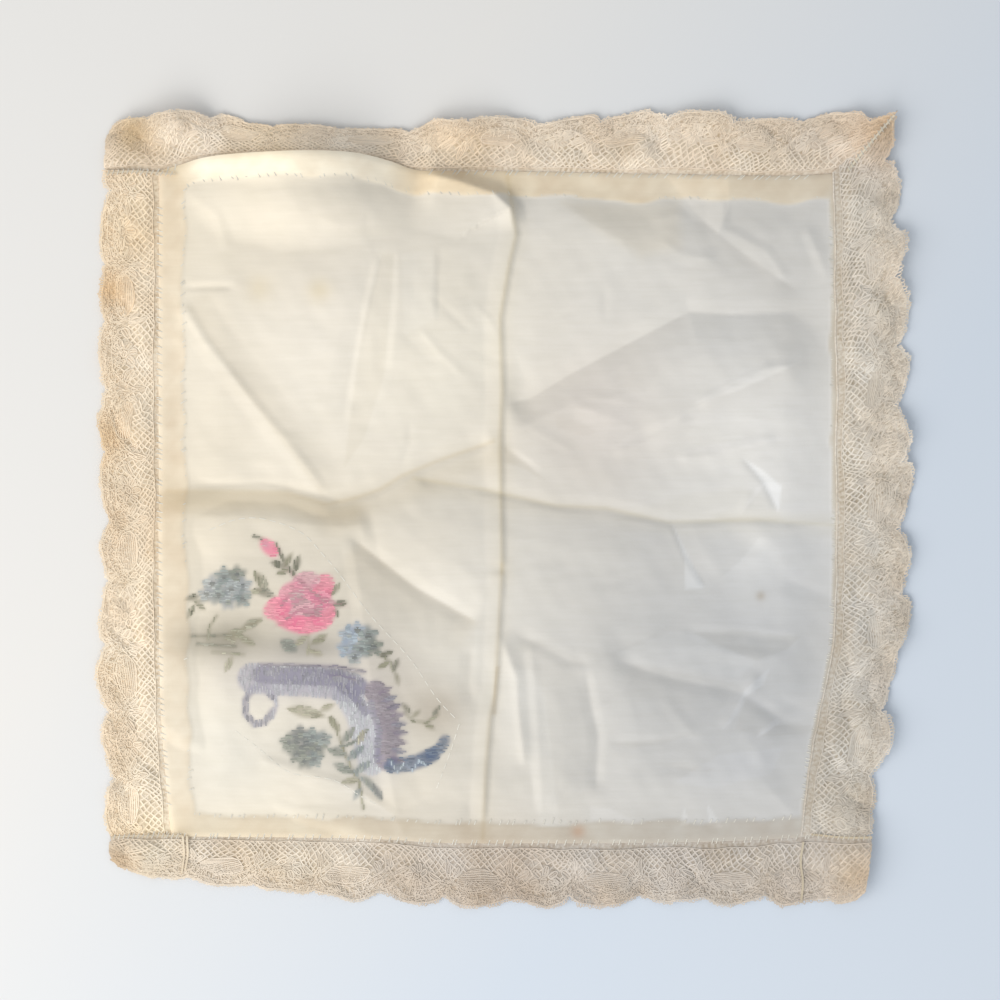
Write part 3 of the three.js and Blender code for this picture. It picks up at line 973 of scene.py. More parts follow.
def sewn_line(side):
    """The silk's edge a seam gap away, carried on round the corner."""
    gap = SEAM_GAP[side]
    edge = SILK_EDGE[side]
    if side == "right":
        return [(x + gap, y) for x, y in edge[::-1]]
    if side == "left":
        return [(x - gap, y) for x, y in edge]
    if side == "top":
        beyond = [(x, edge[0][1]) for x in CORNER_X["top_left"]]
        return [(x, y + gap) for x, y in beyond + edge]
    right_end = [(x, edge[-1][1]) for x in CORNER_X["bottom_right"]]
    left_end = [(x, edge[0][1]) for x in CORNER_X["bottom_left"][::-1]]
    return [(x, y - gap) for x, y in right_end + edge[::-1] + left_end]


# The bands of the scalloped edge, from the outside in: cords, with a row of small holes inside each.
EDGE_CORDS = table("""
    offset width
    0.2 0.5
    2.1 0.3
    4.3 0.36
""")
EDGE_HOLES = table("""
    offset a_scallop half_along half_out
    1.25 19 0.3 0.42
    3.2 15 0.42 0.56
""")

# The bands along the sewn line
FOOT_CORDS = table("""
    q width
    0.25 0.45
    2.3 0.3
""")
FOOT_HOLES = dict(q=1.4, a_scallop=11, half_along=0.5, half_out=0.45)

# Dense ovals in a scallop, from its middle: by turns one large oval, and a flower between leaves.
# The last row of the flower, and the second of the oval, is the leaf under the nick at the scallop's start.
MOTIF_Q = 12.0
OVAL_SCALLOP = table("""
    along out half_along half_out turn
    0 0 7 3 0
    -11.25 -4 2.6 0.9 1.5708
    -8.1 -2.6 1.5 0.8 -0.9
    8.1 -2.6 1.5 0.8 0.9
""")
FLOWER_SCALLOP = table("""
    along out half_along half_out turn
    0 0 0.9 0.9 0
    -6.6 -1.2 2.1 0.95 -0.5
    6.6 -1.2 2.1 0.95 0.5
    -11.25 -4 2.6 0.9 1.5708
""")
PETALS = dict(count=7, start=0.25, along=3.0, out=2.7, half_along=1.35, half_out=0.95)
LARGE_OVAL = 7
OVAL_MARGIN = 0.3

# Threads of the lace: how wide each is, and how far above the web it lies.
LACE_THREADS = named("""
    kind width,lift
    net 0.5,0.05
    picot 0.34,0.1
    rib 0.32,0.08
    ring 0.36,0.12
    fibre 0.28,0.15
""")
CORD_LIFT = 0.14
THREAD_SHADES = (0.84, 1.03)
NICK_DEEPENS = 1.15
NET_START = 3.4
NET_PITCH = 2.25
NET_ROW = 1.05
NET_HOLE = (0.62, 0.5)
NET_HOLE_SIZES = (0.7, 1.25)
NET_TOP = 4.3
NET_CLEAR = 0.1
NET_UNEVEN_ALONG = 0.085
NET_UNEVEN_OUT = 0.12
RING_HOLE = 0.4
RING_PITCH = 1.6
RINGS = (1.16, 0.5)
RING_POINTS = 21
RIB_PITCH = 0.62
RIB_POINTS = 6
RIB_SHORTEST = 0.02
CORD_STEPS = 30
PICOT_PITCH = 0.95
PICOT_HALF = 0.42
PICOT_SIZES = (0.15, 1.1)
PICOT_POINTS = 5
FIBRES_A_SCALLOP = 300
FIBRE_HALVES = (0.3, 0.8)
FIBRE_SPREAD = (0.4, 1)
FIBRE_INSET = 0.3
WEB_EDGE = 0.2
WEB_INSET = 0.1
# Holes in the lace's web are painted darker: painted shade of the shadowed surface seen through them.
HOLE_PAINTED_SHADE = (0.73, 0.69, 0.61)
HOLE_SOFT = (0.55, 1.35)
HOLE_REACH = 1.4
CLOSE_WORK_TONE = 1.07


def arc(a, offset):
    """The scallops' outline drawn in by an offset: the further in, the deeper its nicks."""
    depth = SCALLOP_DEPTH + NICK_DEEPENS * offset
    return LACE_WIDTH - offset - depth * (1 - np.abs(np.sin(math.pi * a)) ** SCALLOP_FULLNESS)


def straight(starts, ends, points=2):
    share = np.linspace(0, 1, points)[None, :, None]
    return starts[:, None, :] * (1 - share) + ends[:, None, :] * share


def turned(along, out, turn):
    return along * math.cos(turn) - out * math.sin(turn), along * math.sin(turn) + out * math.cos(turn)


def from_oval(oval, along, out):
    """Places in the lace, from places along and across an oval."""
    along, out = turned(along, out, oval["turn"])
    return np.stack([oval["a"] + along / SCALLOP_PITCH, oval["q"] + out], -1)


def oval_ring(oval, size=1, points=RING_POINTS):
    """A closed ring round an oval, as one line."""
    turn = np.linspace(0, math.tau, points)
    along = size * oval["half_along"] * np.cos(turn)
    return from_oval(oval, along, size * oval["half_out"] * np.sin(turn))[None]


def oval_ribs(oval):
    """Close threads that fill an oval."""
    count = max(2, int(2 * oval["half_out"] / RIB_PITCH))
    off = (np.arange(count) - (count - 1) / 2) * RIB_PITCH
    reach = oval["half_along"] * np.sqrt(np.clip(1 - (off / oval["half_out"]) ** 2, RIB_SHORTEST, 1))
    along = np.linspace(-1, 1, RIB_POINTS)[None, :] * reach[:, None]
    return from_oval(oval, along, np.broadcast_to(off[:, None], along.shape))


def petal_ovals():
    petals = []
    for petal in range(PETALS["count"]):
        turn = math.tau * (petal + PETALS["start"]) / PETALS["count"]
        along, out = PETALS["along"] * math.cos(turn), PETALS["out"] * math.sin(turn)
        petals.append(dict(PETALS, along=along, out=out, turn=turn))
    return petals


def scallop_ovals(scallop):
    ovals = petal_ovals() + FLOWER_SCALLOP if scallop % 2 else OVAL_SCALLOP
    middle = scallop + 0.5
    return [dict(oval, a=middle + oval["along"] / SCALLOP_PITCH, q=MOTIF_Q + oval["out"]) for oval in ovals]


def fits(oval, first, last):
    along, out = oval["half_along"] * math.cos(oval["turn"]), oval["half_out"] * math.sin(oval["turn"])
    reach = (max(abs(along), abs(out)) + OVAL_MARGIN) / SCALLOP_PITCH
    return first + reach < oval["a"] < last - reach


def whole_ovals(first, last):
    """The dense ovals that fit between the two ends of a length of lace."""
    scallops = range(math.floor(first) - 1, math.ceil(last) + 1)
    return [oval for scallop in scallops for oval in scallop_ovals(scallop) if fits(oval, first, last)]


def inside_ovals(ovals, a, q, margin):
    inside = np.zeros(a.shape, bool)
    for oval in ovals:
        along, out = turned((a - oval["a"]) * SCALLOP_PITCH, q - oval["q"], -oval["turn"])
        inside |= (along / (oval["half_along"] + margin)) ** 2 + (out / (oval["half_out"] + margin)) ** 2 < 1
    return inside


def net_crossings(first, last):
    """Where the threads of the net cross, as rows and columns of (a, q)."""
    pitch = NET_PITCH / SCALLOP_PITCH
    rows = np.arange(int((LACE_WIDTH - NET_TOP - NET_START) / NET_ROW) + 2)
    columns = np.arange(int((last - first) / pitch) + 2)
    row, column = np.meshgrid(rows, columns, indexing="ij")
    a = first + (column + 0.5 * (row % 2)) * pitch + random.normal(0, NET_UNEVEN_ALONG, row.shape) * pitch
    q = NET_START + (row - 1) * NET_ROW + random.normal(0, NET_UNEVEN_OUT, row.shape)
    return row, column, a, q


def net_threads(crossings, ovals):
    """The net as separate short threads from each crossing to the two above it."""
    row, column, a, q = crossings
    threads = []
    for hand in (-1, 1):
        shift = np.where(row % 2 == 0, (hand - 1) // 2, (hand + 1) // 2)
        end_row = np.minimum(row + 1, row.max())
        end_column = np.clip(column + shift, 0, column.max())
        whole = (end_row == row + 1) & (end_column == column + shift)
        start = np.stack([a, q], -1)[whole]
        end = np.stack([a[end_row, end_column], q[end_row, end_column]], -1)[whole]
        threads.append(straight(start, end))
    return clear_of_pattern(np.concatenate(threads), ovals)


def net_holes(crossings, ovals):
    """The holes between the threads, each midway between two crossings of a row."""
    _, _, a, q = crossings
    middle_a = (a[:, :-1] + a[:, 1:]) / 2
    middle_q = (q[:, :-1] + q[:, 1:]) / 2
    places = clear_of_pattern(np.stack([middle_a, middle_q], -1).reshape(-1, 1, 2), ovals)[:, 0]
    sizes = np.array(NET_HOLE) * random.uniform(*NET_HOLE_SIZES, (len(places), 1))
    return np.column_stack([places, sizes])


def clear_of_pattern(lines, ovals):
    middle = lines.mean(axis=1)
    a, q = middle[:, 0], middle[:, 1]
    return lines[(q < arc(a, NET_TOP) - NET_CLEAR) & ~inside_ovals(ovals, a, q, OVAL_MARGIN)]


def edge_holes(first, last):
    """Rows of small holes along the scallops, and a row of larger ones along the sewn line."""
    holes = []
    for row in EDGE_HOLES + [FOOT_HOLES]:
        a = np.arange(first, last, 1 / row["a_scallop"])
        q = np.full(len(a), row["q"]) if "q" in row else arc(a, row["offset"])
        sizes = np.broadcast_to([row["half_along"], row["half_out"]], (len(a), 2))
        holes.append(np.column_stack([a, q, sizes]))
    return holes


def ring_holes(ovals):
    """Small holes round each large oval and round its middle."""
    holes = []
    for oval in ovals:
        if oval["half_along"] < LARGE_OVAL:
            continue
        for size in RINGS:
            count = int(math.pi * size * (oval["half_along"] + oval["half_out"]) / RING_PITCH)
            ring = oval_ring(oval, size, count + 1)[0, :-1]
            holes.append(np.column_stack([ring, np.full((count, 2), RING_HOLE)]))
    return holes


def hole_cover(a, q, holes):
    """How far into a hole each place of a web lies, with soft edges."""
    cover = np.zeros(a.shape)
    for hole_a, hole_q, half_along, half_out in holes:
        reach = HOLE_REACH * half_along / SCALLOP_PITCH
        first, last = np.searchsorted(a[0], (hole_a - reach, hole_a + reach))
        here = np.s_[:, first:last]
        off = np.hypot((a[here] - hole_a) * SCALLOP_PITCH / half_along, (q[here] - hole_q) / half_out)
        cover[here] = np.maximum(cover[here], 1 - smoothstep(off, *HOLE_SOFT))
    return cover


def edge_cords(first, last):
    """Cords along the scallops and along the sewn line, in short lengths, each with its width."""
    a = np.arange(first, last, 1 / CORD_STEPS)[:, None] + np.linspace(0, 1 / CORD_STEPS, 2)[None, :]
    cords = [(np.stack([a, arc(a, cord["offset"])], -1), cord["width"]) for cord in EDGE_CORDS]
    return cords + [(np.stack([a, np.full(a.shape, cord["q"])], -1), cord["width"]) for cord in FOOT_CORDS]


def picot_loops(first, last):
    """Small loops of thread along the scalloped edge."""
    a = np.arange(first, last, PICOT_PITCH / SCALLOP_PITCH)
    turn = np.linspace(0, math.pi, PICOT_POINTS)[None, :]
    along = a[:, None] - PICOT_HALF * np.cos(turn) / SCALLOP_PITCH
    size = random.uniform(*PICOT_SIZES, len(a))[:, None]
    return np.stack([along, arc(a, WEB_EDGE)[:, None] + WEB_EDGE + size * np.sin(turn)], -1)


def loose_fibres(first, last):
    """Short fibres that lie every way over the lace, more of them towards its edge."""
    count = round((last - first) * FIBRES_A_SCALLOP)
    a = random.uniform(first, last, count)
    q = random.uniform(*FIBRE_SPREAD, count) ** 0.5 * (arc(a, WEB_EDGE) - FIBRE_INSET)
    turn = random.uniform(0, math.tau, count)
    half = random.uniform(*FIBRE_HALVES, count)[:, None]
    off = half * np.stack([np.cos(turn) / SCALLOP_PITCH, np.sin(turn)], -1)
    middle = np.stack([a, q], -1)
    return straight(middle - off, middle + off)


def lace_threads(first, last, crossings, ovals):
    """All threads of a length of lace, as lines with their width and lift."""
    groups = [(net_threads(crossings, ovals), *LACE_THREADS["net"])]
    groups += [(lines, width, CORD_LIFT) for lines, width in edge_cords(first, last)]
    groups.append((picot_loops(first, last), *LACE_THREADS["picot"]))
    for oval in ovals:
        groups.append((oval_ribs(oval), *LACE_THREADS["rib"]))
        groups.append((oval_ring(oval), *LACE_THREADS["ring"]))
    return groups + [(loose_fibres(first, last), *LACE_THREADS["fibre"])]


# How the lace wavers: least at its sewn line, with waves of its own for each side.
PUCKER = 3.8
PUCKER_AT_FOOT = 0.2
PUCKER_REACH = 0.3 * LACE_WIDTH
PUCKER_OUT = 0.6
WAVER_ALONG = dict(along=1, out=1.5, shift=90)
WAVER_OUT = dict(along=1.3, out=1.5, shift=-70)
SIDE_SHIFT = 400
LAPS_HEM = (0.2, 0.4)
LAPS_HEM_LIFT = 0.25


def waver(waves, along, q):
    return ripple_height(waves["along"] * along, waves["out"] * q + waves["shift"])


def lace_place(side, scallops, begins):
    """A function from places in a length of lace, and a lift, to points."""
    sewn, tops = smooth_line(sewn_line(side)), smooth_line(SCALLOP_LINE[side])

    def place(lines, lift):
        a, q = lines[..., 0], lines[..., 1]
        along = a * SCALLOP_PITCH + SIDE_SHIFT * len(side)
        loose = PUCKER * (PUCKER_AT_FOOT + (1 - PUCKER_AT_FOOT) * smoothstep(q, 0, PUCKER_REACH))
        share = (a + loose * waver(WAVER_ALONG, along, q) / SCALLOP_PITCH - begins) / scallops
        out = (q + PUCKER_OUT * loose * waver(WAVER_OUT, along, q)) / LACE_WIDTH
        plan = painted(sewn(share), out, tops(share))
        x, y = plan[..., 0], plan[..., 1]
        height = lace_height(x, y, out)
        if side == "right":
            over_hem = 1 - smoothstep(out, *LAPS_HEM)
            height = np.maximum(height, over_hem * (hem_height(x, y) + LAPS_HEM_LIFT))
        return np.dstack([plan, height + lift])

    return place


BROWNED_EDGE = (0.95, 0.932, 0.91)
BROWNED_FROM = 0.4 * LACE_WIDTH
LACE_MOTTLE = (0.1, 0.14, 0.2)
LACE_MOTTLE_SCALE = 1.6


def lace_tint(x, y, q, tone):
    """The lace is browner towards its scalloped edge, uneven in colour, and stained in places, with painted
    light and shade in others.
    """
    tint = tinted(stain_and_light_tint(x, y), smoothstep(q, BROWNED_FROM, LACE_WIDTH), BROWNED_EDGE)
    return tint * mottle(x, y, LACE_MOTTLE_SCALE, LACE_MOTTLE) * np.array(tone)


WEB_CELLS_A_SCALLOP = 54
WEB_CELLS_ACROSS = 46
WEB_LIFT = -0.08
OPEN_WORK = dict(middle=0.7, swing=1.3, low=0.2, along=24, out=1.4, shift=300)


def lace_web(row, holes, ovals):
    """The close work of a length of lace, as one sheer sheet with painted shade where it has holes."""
    side, scallops, begins = row["side"], row["scallops"], row["begins"]
    a = np.linspace(begins, begins + scallops, round(scallops * WEB_CELLS_A_SCALLOP) + 1)
    across, along = np.meshgrid(np.linspace(0, 1, WEB_CELLS_ACROSS + 1), a, indexing="ij")
    q = across * (arc(along, WEB_EDGE) - WEB_INSET)
    points = lace_place(side, scallops, begins)(np.stack([along, q], -1), WEB_LIFT)
    x, y = points[..., 0], points[..., 1]
    patchy = OPEN_WORK["middle"] + OPEN_WORK["swing"] * waver(OPEN_WORK, along, q)
    open_work = row["openness"] * np.clip(patchy, OPEN_WORK["low"], 1) * stain_and_light_tint(x, y)[..., 2] ** 2
    tints = tinted(lace_tint(x, y, q, row["tone"]), open_work * hole_cover(along, q, holes), HOLE_PAINTED_SHADE)
    close_work = np.where(inside_ovals(ovals, along, q, 0), CLOSE_WORK_TONE, 1)
    return grid_shape(points, tints * close_work[..., None])


def lace_length(row):
    """One length of lace: its threads, and the sheer web under them."""
    first, last = row["begins"], row["begins"] + row["scallops"]
    place = lace_place(row["side"], row["scallops"], row["begins"])
    ovals = whole_ovals(first, last)
    crossings = net_crossings(first, last)
    shapes = []
    for lines, width, lift in lace_threads(first, last, crossings, ovals):
        middle = lines[..., 0].mean(axis=1)
        lines = lines[(middle > first) & (middle < last)]
        if len(lines) == 0:
            continue
        where = place(lines, lift)
        centre = where.mean(axis=1)
        tints = lace_tint(centre[:, 0], centre[:, 1], lines[..., 1].mean(axis=1), row["tone"])
        shapes.append(ribbons(where, width, tints * random.uniform(*THREAD_SHADES, (len(lines), 1))))
    holes = np.concatenate([net_holes(crossings, ovals)] + edge_holes(first, last) + ring_holes(ovals))
    return joined(shapes), lace_web(row, holes, ovals)


# Embroidery
# The design is a loose spray: a rose with a bud, small florets, leaves and a looped ribbon.

# Colours of the threads, as the share of light that each sends back.
THREAD = named("""
    thread colour
    bright_pink 0.86,0.19,0.32
    pink 0.78,0.25,0.36
    light_pink 0.7,0.35,0.41
    old_pink 0.55,0.28,0.33
    dusky_pink 0.5,0.22,0.27
    blue_grey 0.33,0.37,0.38
    light_blue 0.34,0.42,0.5
    slate 0.11,0.13,0.135
    slate_green 0.2,0.225,0.19
    blue_green 0.19,0.24,0.24
    olive 0.26,0.25,0.16
    dark_olive 0.14,0.14,0.09
    pale_olive 0.37,0.35,0.24
    lavender 0.235,0.23,0.295
    pale_lavender 0.39,0.39,0.45
    pale_blue 0.5,0.52,0.56
    deep_lavender 0.2,0.175,0.24
    mauve_grey 0.26,0.22,0.27
    steel_blue 0.075,0.125,0.22
    cream 0.97,0.93,0.83
""")
VEIL = (0.8, 0.76, 0.66)
VEIL_LEAST = 0.02
VEIL_LOW_LEFT = 0.12
VEIL_FROM = (-66, -48)
VEIL_REACH = 70
VEIL_PATCHY = 0.3
VEIL_SCALE = 1.8
STITCH_VEIL = 0.1
STITCH_PITCH = 0.52
STITCH_LENGTH = 1.5
STITCH_WIDTH = 0.46
STITCH_STEP = 0.15
STITCH_LIFT = 0.06
STITCH_COUNT_SPREAD = 0.3
STITCH_END_SPREAD = 0.5
STITCH_SLANT = 0.12
STITCH_OVERLAP = 0.15
STITCH_SHADES = 0.1
STITCHES_LEFT = 0.46
SOFT_EDGE = 1.0
DESIGN_STRENGTH = 0.82
SILK_GROUND = (0.82, 0.77, 0.66)
DESIGN_SPAN = {"x": (-116, -18), "y": (-106, -6)}

# Stems and ribbons: lines of some width, with the way their stitches run.
STEMS = table("""
    thread width run line
    # round the bud and the rose
    dark_olive 0.9 x -88.6,-10.2 -86,-11 -84.4,-12.4
    dark_olive 1.1 y -81,-13 -79.4,-16 -77.6,-19.6 -74.8,-23.4
    pale_olive 0.8 y -69.6,-43 -69.2,-47 -69.4,-51
    # left of the rose
    olive 0.9 x -109,-33 -105,-32.4 -102,-31
    dark_olive 0.7 x -110.4,-45 -104,-45 -98,-44.4
    dark_olive 0.7 x -108.4,-47.8 -101,-48.2 -95,-48.6
    olive 0.7 x -103,-50.6 -97,-50.8 -92,-51.4
    olive 0.8 y -101.6,-38 -104,-41.6 -104.6,-46
    pale_olive 0.9 x -96,-47 -91,-42 -86,-39.4
    # sprigs on the right
    olive 0.9 y -45.2,-50.3 -41.2,-53.7 -38.8,-58.8
    olive 0.8 x -35.8,-71.6 -33.1,-74.5 -28.4,-75 -24.4,-72.3
    # ribbon
    lavender 2.2 y -82,-66 -84.4,-63 -88.6,-63 -91.4,-67 -91.4,-72 -88.4,-75.6 -84.6,-75 -82,-71
    pale_lavender 1.4 y -81,-65.4 -80.6,-69 -82,-73
    pale_blue 9 y -56,-65 -52,-72 -49.6,-80 -47.6,-89
    pale_lavender 10.4 y -89,-59.6 -80,-60.2 -70,-60.6 -61,-61.4 -54.4,-63
    lavender 6 y -86,-58.4 -78,-58.8 -68,-59 -58,-59.6 -51.4,-62.4
    lavender 3.4 y -58,-62.4 -53,-66 -49.6,-71
    deep_lavender 1.0 x -86.3,-54.8 -74,-55 -60,-55.4 -50,-57.2
    deep_lavender 0.9 x -62,-58.4 -57,-58.8 -53,-60
    mauve_grey 7.4 x -46,-64 -42.6,-71 -41.2,-79 -42.4,-88
    lavender 2.4 x -47.8,-68 -45,-78 -45.6,-88
    steel_blue 5.2 x -40.6,-90 -36,-89.7 -31.4,-88.7 -26.4,-86.4
    steel_blue 3.8 x -27,-86.6 -23.6,-84 -22,-81.4
    light_blue 0.7 y -41,-88.6 -38.6,-92.4 -36,-89 -33.4,-92 -31,-88.4 -28.6,-90
    # leaves under the ribbon
    olive 0.9 y -61.4,-73.2 -58.7,-79.9 -56,-88 -51.9,-96.1 -50.6,-105.2
    slate_green 0.9 x -60,-84 -54,-82 -49,-77.6
    blue_green 0.9 y -54,-92 -48.6,-97 -44.6,-101.6
""")

# Single leaves and petals: ovals, or pointed leaves, with the turn of their length in degrees.
LEAVES = table("""
    form x y length width turn run thread
    # round the bud
    oval -83.2 -14.2 7.4 4.6 -45 x bright_pink
    oval -84.4 -13 3.2 2.4 -45 x light_pink
    leaf -80.2 -20 5.6 2.2 -20 y dark_olive
    leaf -76.6 -18.4 5.6 2.2 60 y olive
    leaf -73.6 -19.8 6.2 2.4 72 y dark_olive
    leaf -78.4 -22.6 4.6 1.8 15 x olive
    # left of the rose
    leaf -86 -25.8 8.6 3.4 -54 y olive
    leaf -84.8 -29.8 7.8 3 -20 x dark_olive
    leaf -88 -29.4 5 1.8 10 x pale_olive
    leaf -110.2 -31.6 5 2 12 x dark_olive
    leaf -110.8 -36.6 5 1.8 62 y olive
    leaf -107.4 -34.6 4.4 1.6 -40 x olive
    leaf -95.4 -44.2 8 3 30 x olive
    leaf -89.4 -40.6 7.4 2.8 28 x olive
    leaf -91 -46.4 7 2.6 -30 x olive
    leaf -97.2 -54.6 6.4 2.2 64 y pale_olive
    # right of and below the rose
    leaf -60 -28.6 5 2 55 y olive
    leaf -58.6 -33.6 5.4 2.2 10 x dark_olive
    leaf -60 -36.6 4 1.6 -60 y dark_olive
    leaf -76.2 -48.2 7.4 4.2 -35 x slate_green
    leaf -72 -46.4 5 2 40 x pale_olive
    leaf -65.6 -46 6.4 2.6 32 x olive
    leaf -66.8 -50.6 5.4 2.2 -20 x pale_olive
    leaf -42.4 -51 4.8 1.8 20 x dark_olive
    leaf -43.4 -55 4.4 1.6 30 x olive
    leaf -39 -54.8 4.8 1.8 65 y dark_olive
    leaf -38.4 -60 4 1.5 -80 y olive
    leaf -35.4 -70 4.4 1.6 -50 y dark_olive
    leaf -32 -72 4 1.5 40 x olive
    leaf -27.4 -76.4 4.4 1.6 -30 x olive
    leaf -25 -71 4 1.5 55 y dark_olive
    # inside and below the ribbon
    leaf -70.6 -71.2 13 4.2 -12 x pale_olive
    leaf -66.4 -72.2 6.4 1.4 -12 x olive
    leaf -63 -69.8 6 2.2 25 x pale_olive
    leaf -60.4 -75.4 6.4 2.4 -52 y olive
    leaf -55.6 -79.4 7 2.6 52 y slate_green
    leaf -51 -80 6.4 2.4 62 y pale_olive
    leaf -59.4 -85.4 7.6 2.8 -18 x slate_green
    leaf -53 -85.6 7.6 2.8 40 y blue_green
    leaf -57.4 -91 8 3 -28 x slate_green
    leaf -50.6 -90.6 7.6 2.8 34 y blue_green
    leaf -55 -95.4 6.4 2.4 12 x pale_olive
    leaf -48.4 -96.2 7.2 2.6 -50 y slate_green
    leaf -45.4 -99.4 6.4 2.2 -62 y slate
    leaf -52.6 -100 5.4 2 60 y blue_green
""")

# The rose's petals about its middle, from the outside in.
ROSE = (-72.6, -34.4)
ROSE_PETALS = table("""
    x y length width turn thread
    -7.4 -0.6 10.4 7.4 25 bright_pink
    -3.6 -4.6 11 7.2 -22 bright_pink
    2.4 -6.2 13 6.8 4 bright_pink
    8.2 -3 10.4 8 72 bright_pink
    7.8 6 10.4 7.6 60 bright_pink
    2.4 8.6 9.6 6.4 8 light_pink
    -2.6 4 9 8.6 42 pink
    7.6 1.6 7.4 6.8 0 pink
    2.4 1 12.4 8.4 -35 old_pink
    0.6 -1.4 9.4 3.4 22 light_pink
    4.4 3 7.4 3 -38 pink
    -4.4 2.6 7.6 1.2 52 dusky_pink
    -1.8 -2.6 8.4 1.1 34 dusky_pink
    3.8 -2.6 8 1.1 -12 dusky_pink
    1.4 7.6 8 1.1 -42 dusky_pink
    6.4 3.4 8 1.1 -38 dusky_pink
    11 1.4 6 1.1 -16 dusky_pink
""")

# Florets of five petals round a dot.
FLORETS = table("""
    x y size petal middle
    -103.2 -27 2.1 blue_grey slate
    -99 -24.2 2.1 blue_green slate
    -94.4 -23.6 2 slate_green slate
    -92.4 -27.6 2.1 blue_grey slate
    -96.6 -28.6 2.2 blue_grey slate
    -101 -30.8 2.1 blue_green slate
    -92.6 -32 1.9 blue_green slate
    -105.2 -30.4 1.8 blue_grey slate
    -97.6 -33.2 1.7 blue_grey slate_green
    -55.2 -44.6 2.2 light_blue blue_grey
    -56.2 -49 2 light_blue blue_grey
    -52.4 -42.8 1.8 light_blue slate
    -48.6 -44.8 2.1 blue_green slate
    -46.8 -48.6 2 slate_green slate
    -51 -49.4 2 blue_green slate
    -53.4 -52.2 1.6 blue_grey slate
    -76.2 -82 2 slate_green slate
    -72.2 -79.4 2.1 slate slate_green
    -68 -80 2 blue_green slate
    -70.2 -84 2.1 slate slate_green
    -73.6 -86 1.9 slate_green slate
    -66.2 -84.2 1.9 slate_green slate
    -67.6 -88 1.8 blue_green slate
    -71 -88.6 1.6 slate_green slate
    -64.2 -80.6 1.7 blue_green slate
""")
FLORET_PETALS = 5
FLORET_START = 0.3
FLORET_REACH = 0.95
FLORET_PETAL = (1.5, 1.15)
FLORET_DOT = (1.9, 1.7)

# Small points along the ribbon's outer side, by turns in three colours.
PLEAT_LINE = [(-43, -64), (-38.8, -72), (-37.6, -80), (-38.6, -88)]
PLEAT_THREADS = ("mauve_grey", "lavender", "deep_lavender")
PLEATS = 9
PLEAT_SIZE = (5.6, 1.9)
PLEAT_TURN = 28
PLEAT_TURN_STEP = 6

# Soft colour between the flowers, as ovals whose colour fades outwards. The dark band below and left of the
# rose is painted shade of a fold, and the wide oval over the whole design is partly painted shade.
HAZE = table("""
    x y reach_x reach_y cover colour
    -99 -28 11 8 0.2 0.44,0.46,0.44
    -99 -46.5 15 7 0.9 0.22,0.205,0.14
    -98 -55 9 7 0.3 0.5,0.48,0.4
    -71 -48.6 14 5.6 0.8 0.28,0.27,0.215
    -80 -20 8 7 0.18 0.44,0.43,0.36
    -51 -47 9 7 0.24 0.46,0.48,0.49
    -70 -84 12 8 0.34 0.42,0.43,0.39
    -53 -90 11 13 0.4 0.44,0.46,0.43
    -70 -60 26 8 0.4 0.52,0.51,0.56
    -46 -78 9 16 0.34 0.5,0.48,0.53
    -43 -60 14 20 0.5 0.56,0.52,0.42
    -25 -71 11 10 0.6 0.4,0.35,0.26
    -66 -56 44 44 0.2 0.62,0.6,0.52
""")


def oval_form(form, x, y, length, width, turn, run, thread):
    """A petal or leaf. Its depth says how far inside its outline a place lies, about in millimetres."""
    cosine, sine = math.cos(math.radians(turn)), math.sin(math.radians(turn))

    def depth(at_x, at_y):
        along = ((at_x - x) * cosine + (at_y - y) * sine) / (length / 2)
        off = ((at_y - y) * cosine - (at_x - x) * sine) / (width / 2)
        if form == "leaf":
            return (1 - along**2 - np.abs(off)) * width / 2
        return (1 - np.hypot(along, off)) * min(length, width) / 2

    return dict(depth=depth, run=run, thread=thread)


def stem_form(stem):
    def depth(at_x, at_y):
        return stem["width"] / 2 - nearest_on_line(stem["line"], at_x, at_y)[0]

    return dict(depth=depth, run=stem["run"], thread=stem["thread"])


def floret_forms(floret):
    forms = []
    size = floret["size"]
    length, width = (share * size for share in FLORET_PETAL)
    for petal in range(FLORET_PETALS):
        turn = math.tau * (petal + FLORET_START) / FLORET_PETALS
        x = floret["x"] + FLORET_REACH * size * math.cos(turn)
        y = floret["y"] + FLORET_REACH * size * math.sin(turn)
        forms.append(oval_form("oval", x, y, length, width, math.degrees(turn), "x", floret["petal"]))
    dot = oval_form("oval", floret["x"], floret["y"], *FLORET_DOT, 0, "x", floret["middle"])
    return forms + [dot]


def pleat_forms():
    ribbon = smooth_line(PLEAT_LINE)
    forms = []
    for pleat in range(PLEATS):
        x, y = ribbon(pleat / (PLEATS - 1))
        turn = PLEAT_TURN - PLEAT_TURN_STEP * pleat
        thread = PLEAT_THREADS[pleat % len(PLEAT_THREADS)]
        forms.append(oval_form("leaf", x, y, *PLEAT_SIZE, turn, "x", thread))
    return forms


def rose_form(petal):
    x, y = ROSE[0] + petal["x"], ROSE[1] + petal["y"]
    return oval_form("oval", **dict(petal, x=x, y=y), run="x")


def design_forms():
    """Every form of the design, the later ones over the earlier."""
    forms = [stem_form(stem) for stem in STEMS] + pleat_forms()
    forms += [oval_form(**leaf) for leaf in LEAVES]
    for floret in FLORETS:
        forms += floret_forms(floret)
    return forms + [rose_form(petal) for petal in ROSE_PETALS]


FORMS = design_forms()


def form_numbers(x, y):
    """The number of the uppermost form at each place, or -1 where there is none."""
    numbers = np.full(x.shape, -1)
    for number, form in enumerate(FORMS):
        numbers[form["depth"](x, y) > 0] = number
    return numbers


def number_runs(numbers):
    """Where each run of one number starts and ends in a row of them."""
    cuts = np.flatnonzero(np.diff(numbers)) + 1
    edges = np.concatenate([[0], cuts, [len(numbers)]])
    return [(numbers[start], start, end) for start, end in zip(edges, edges[1:])]


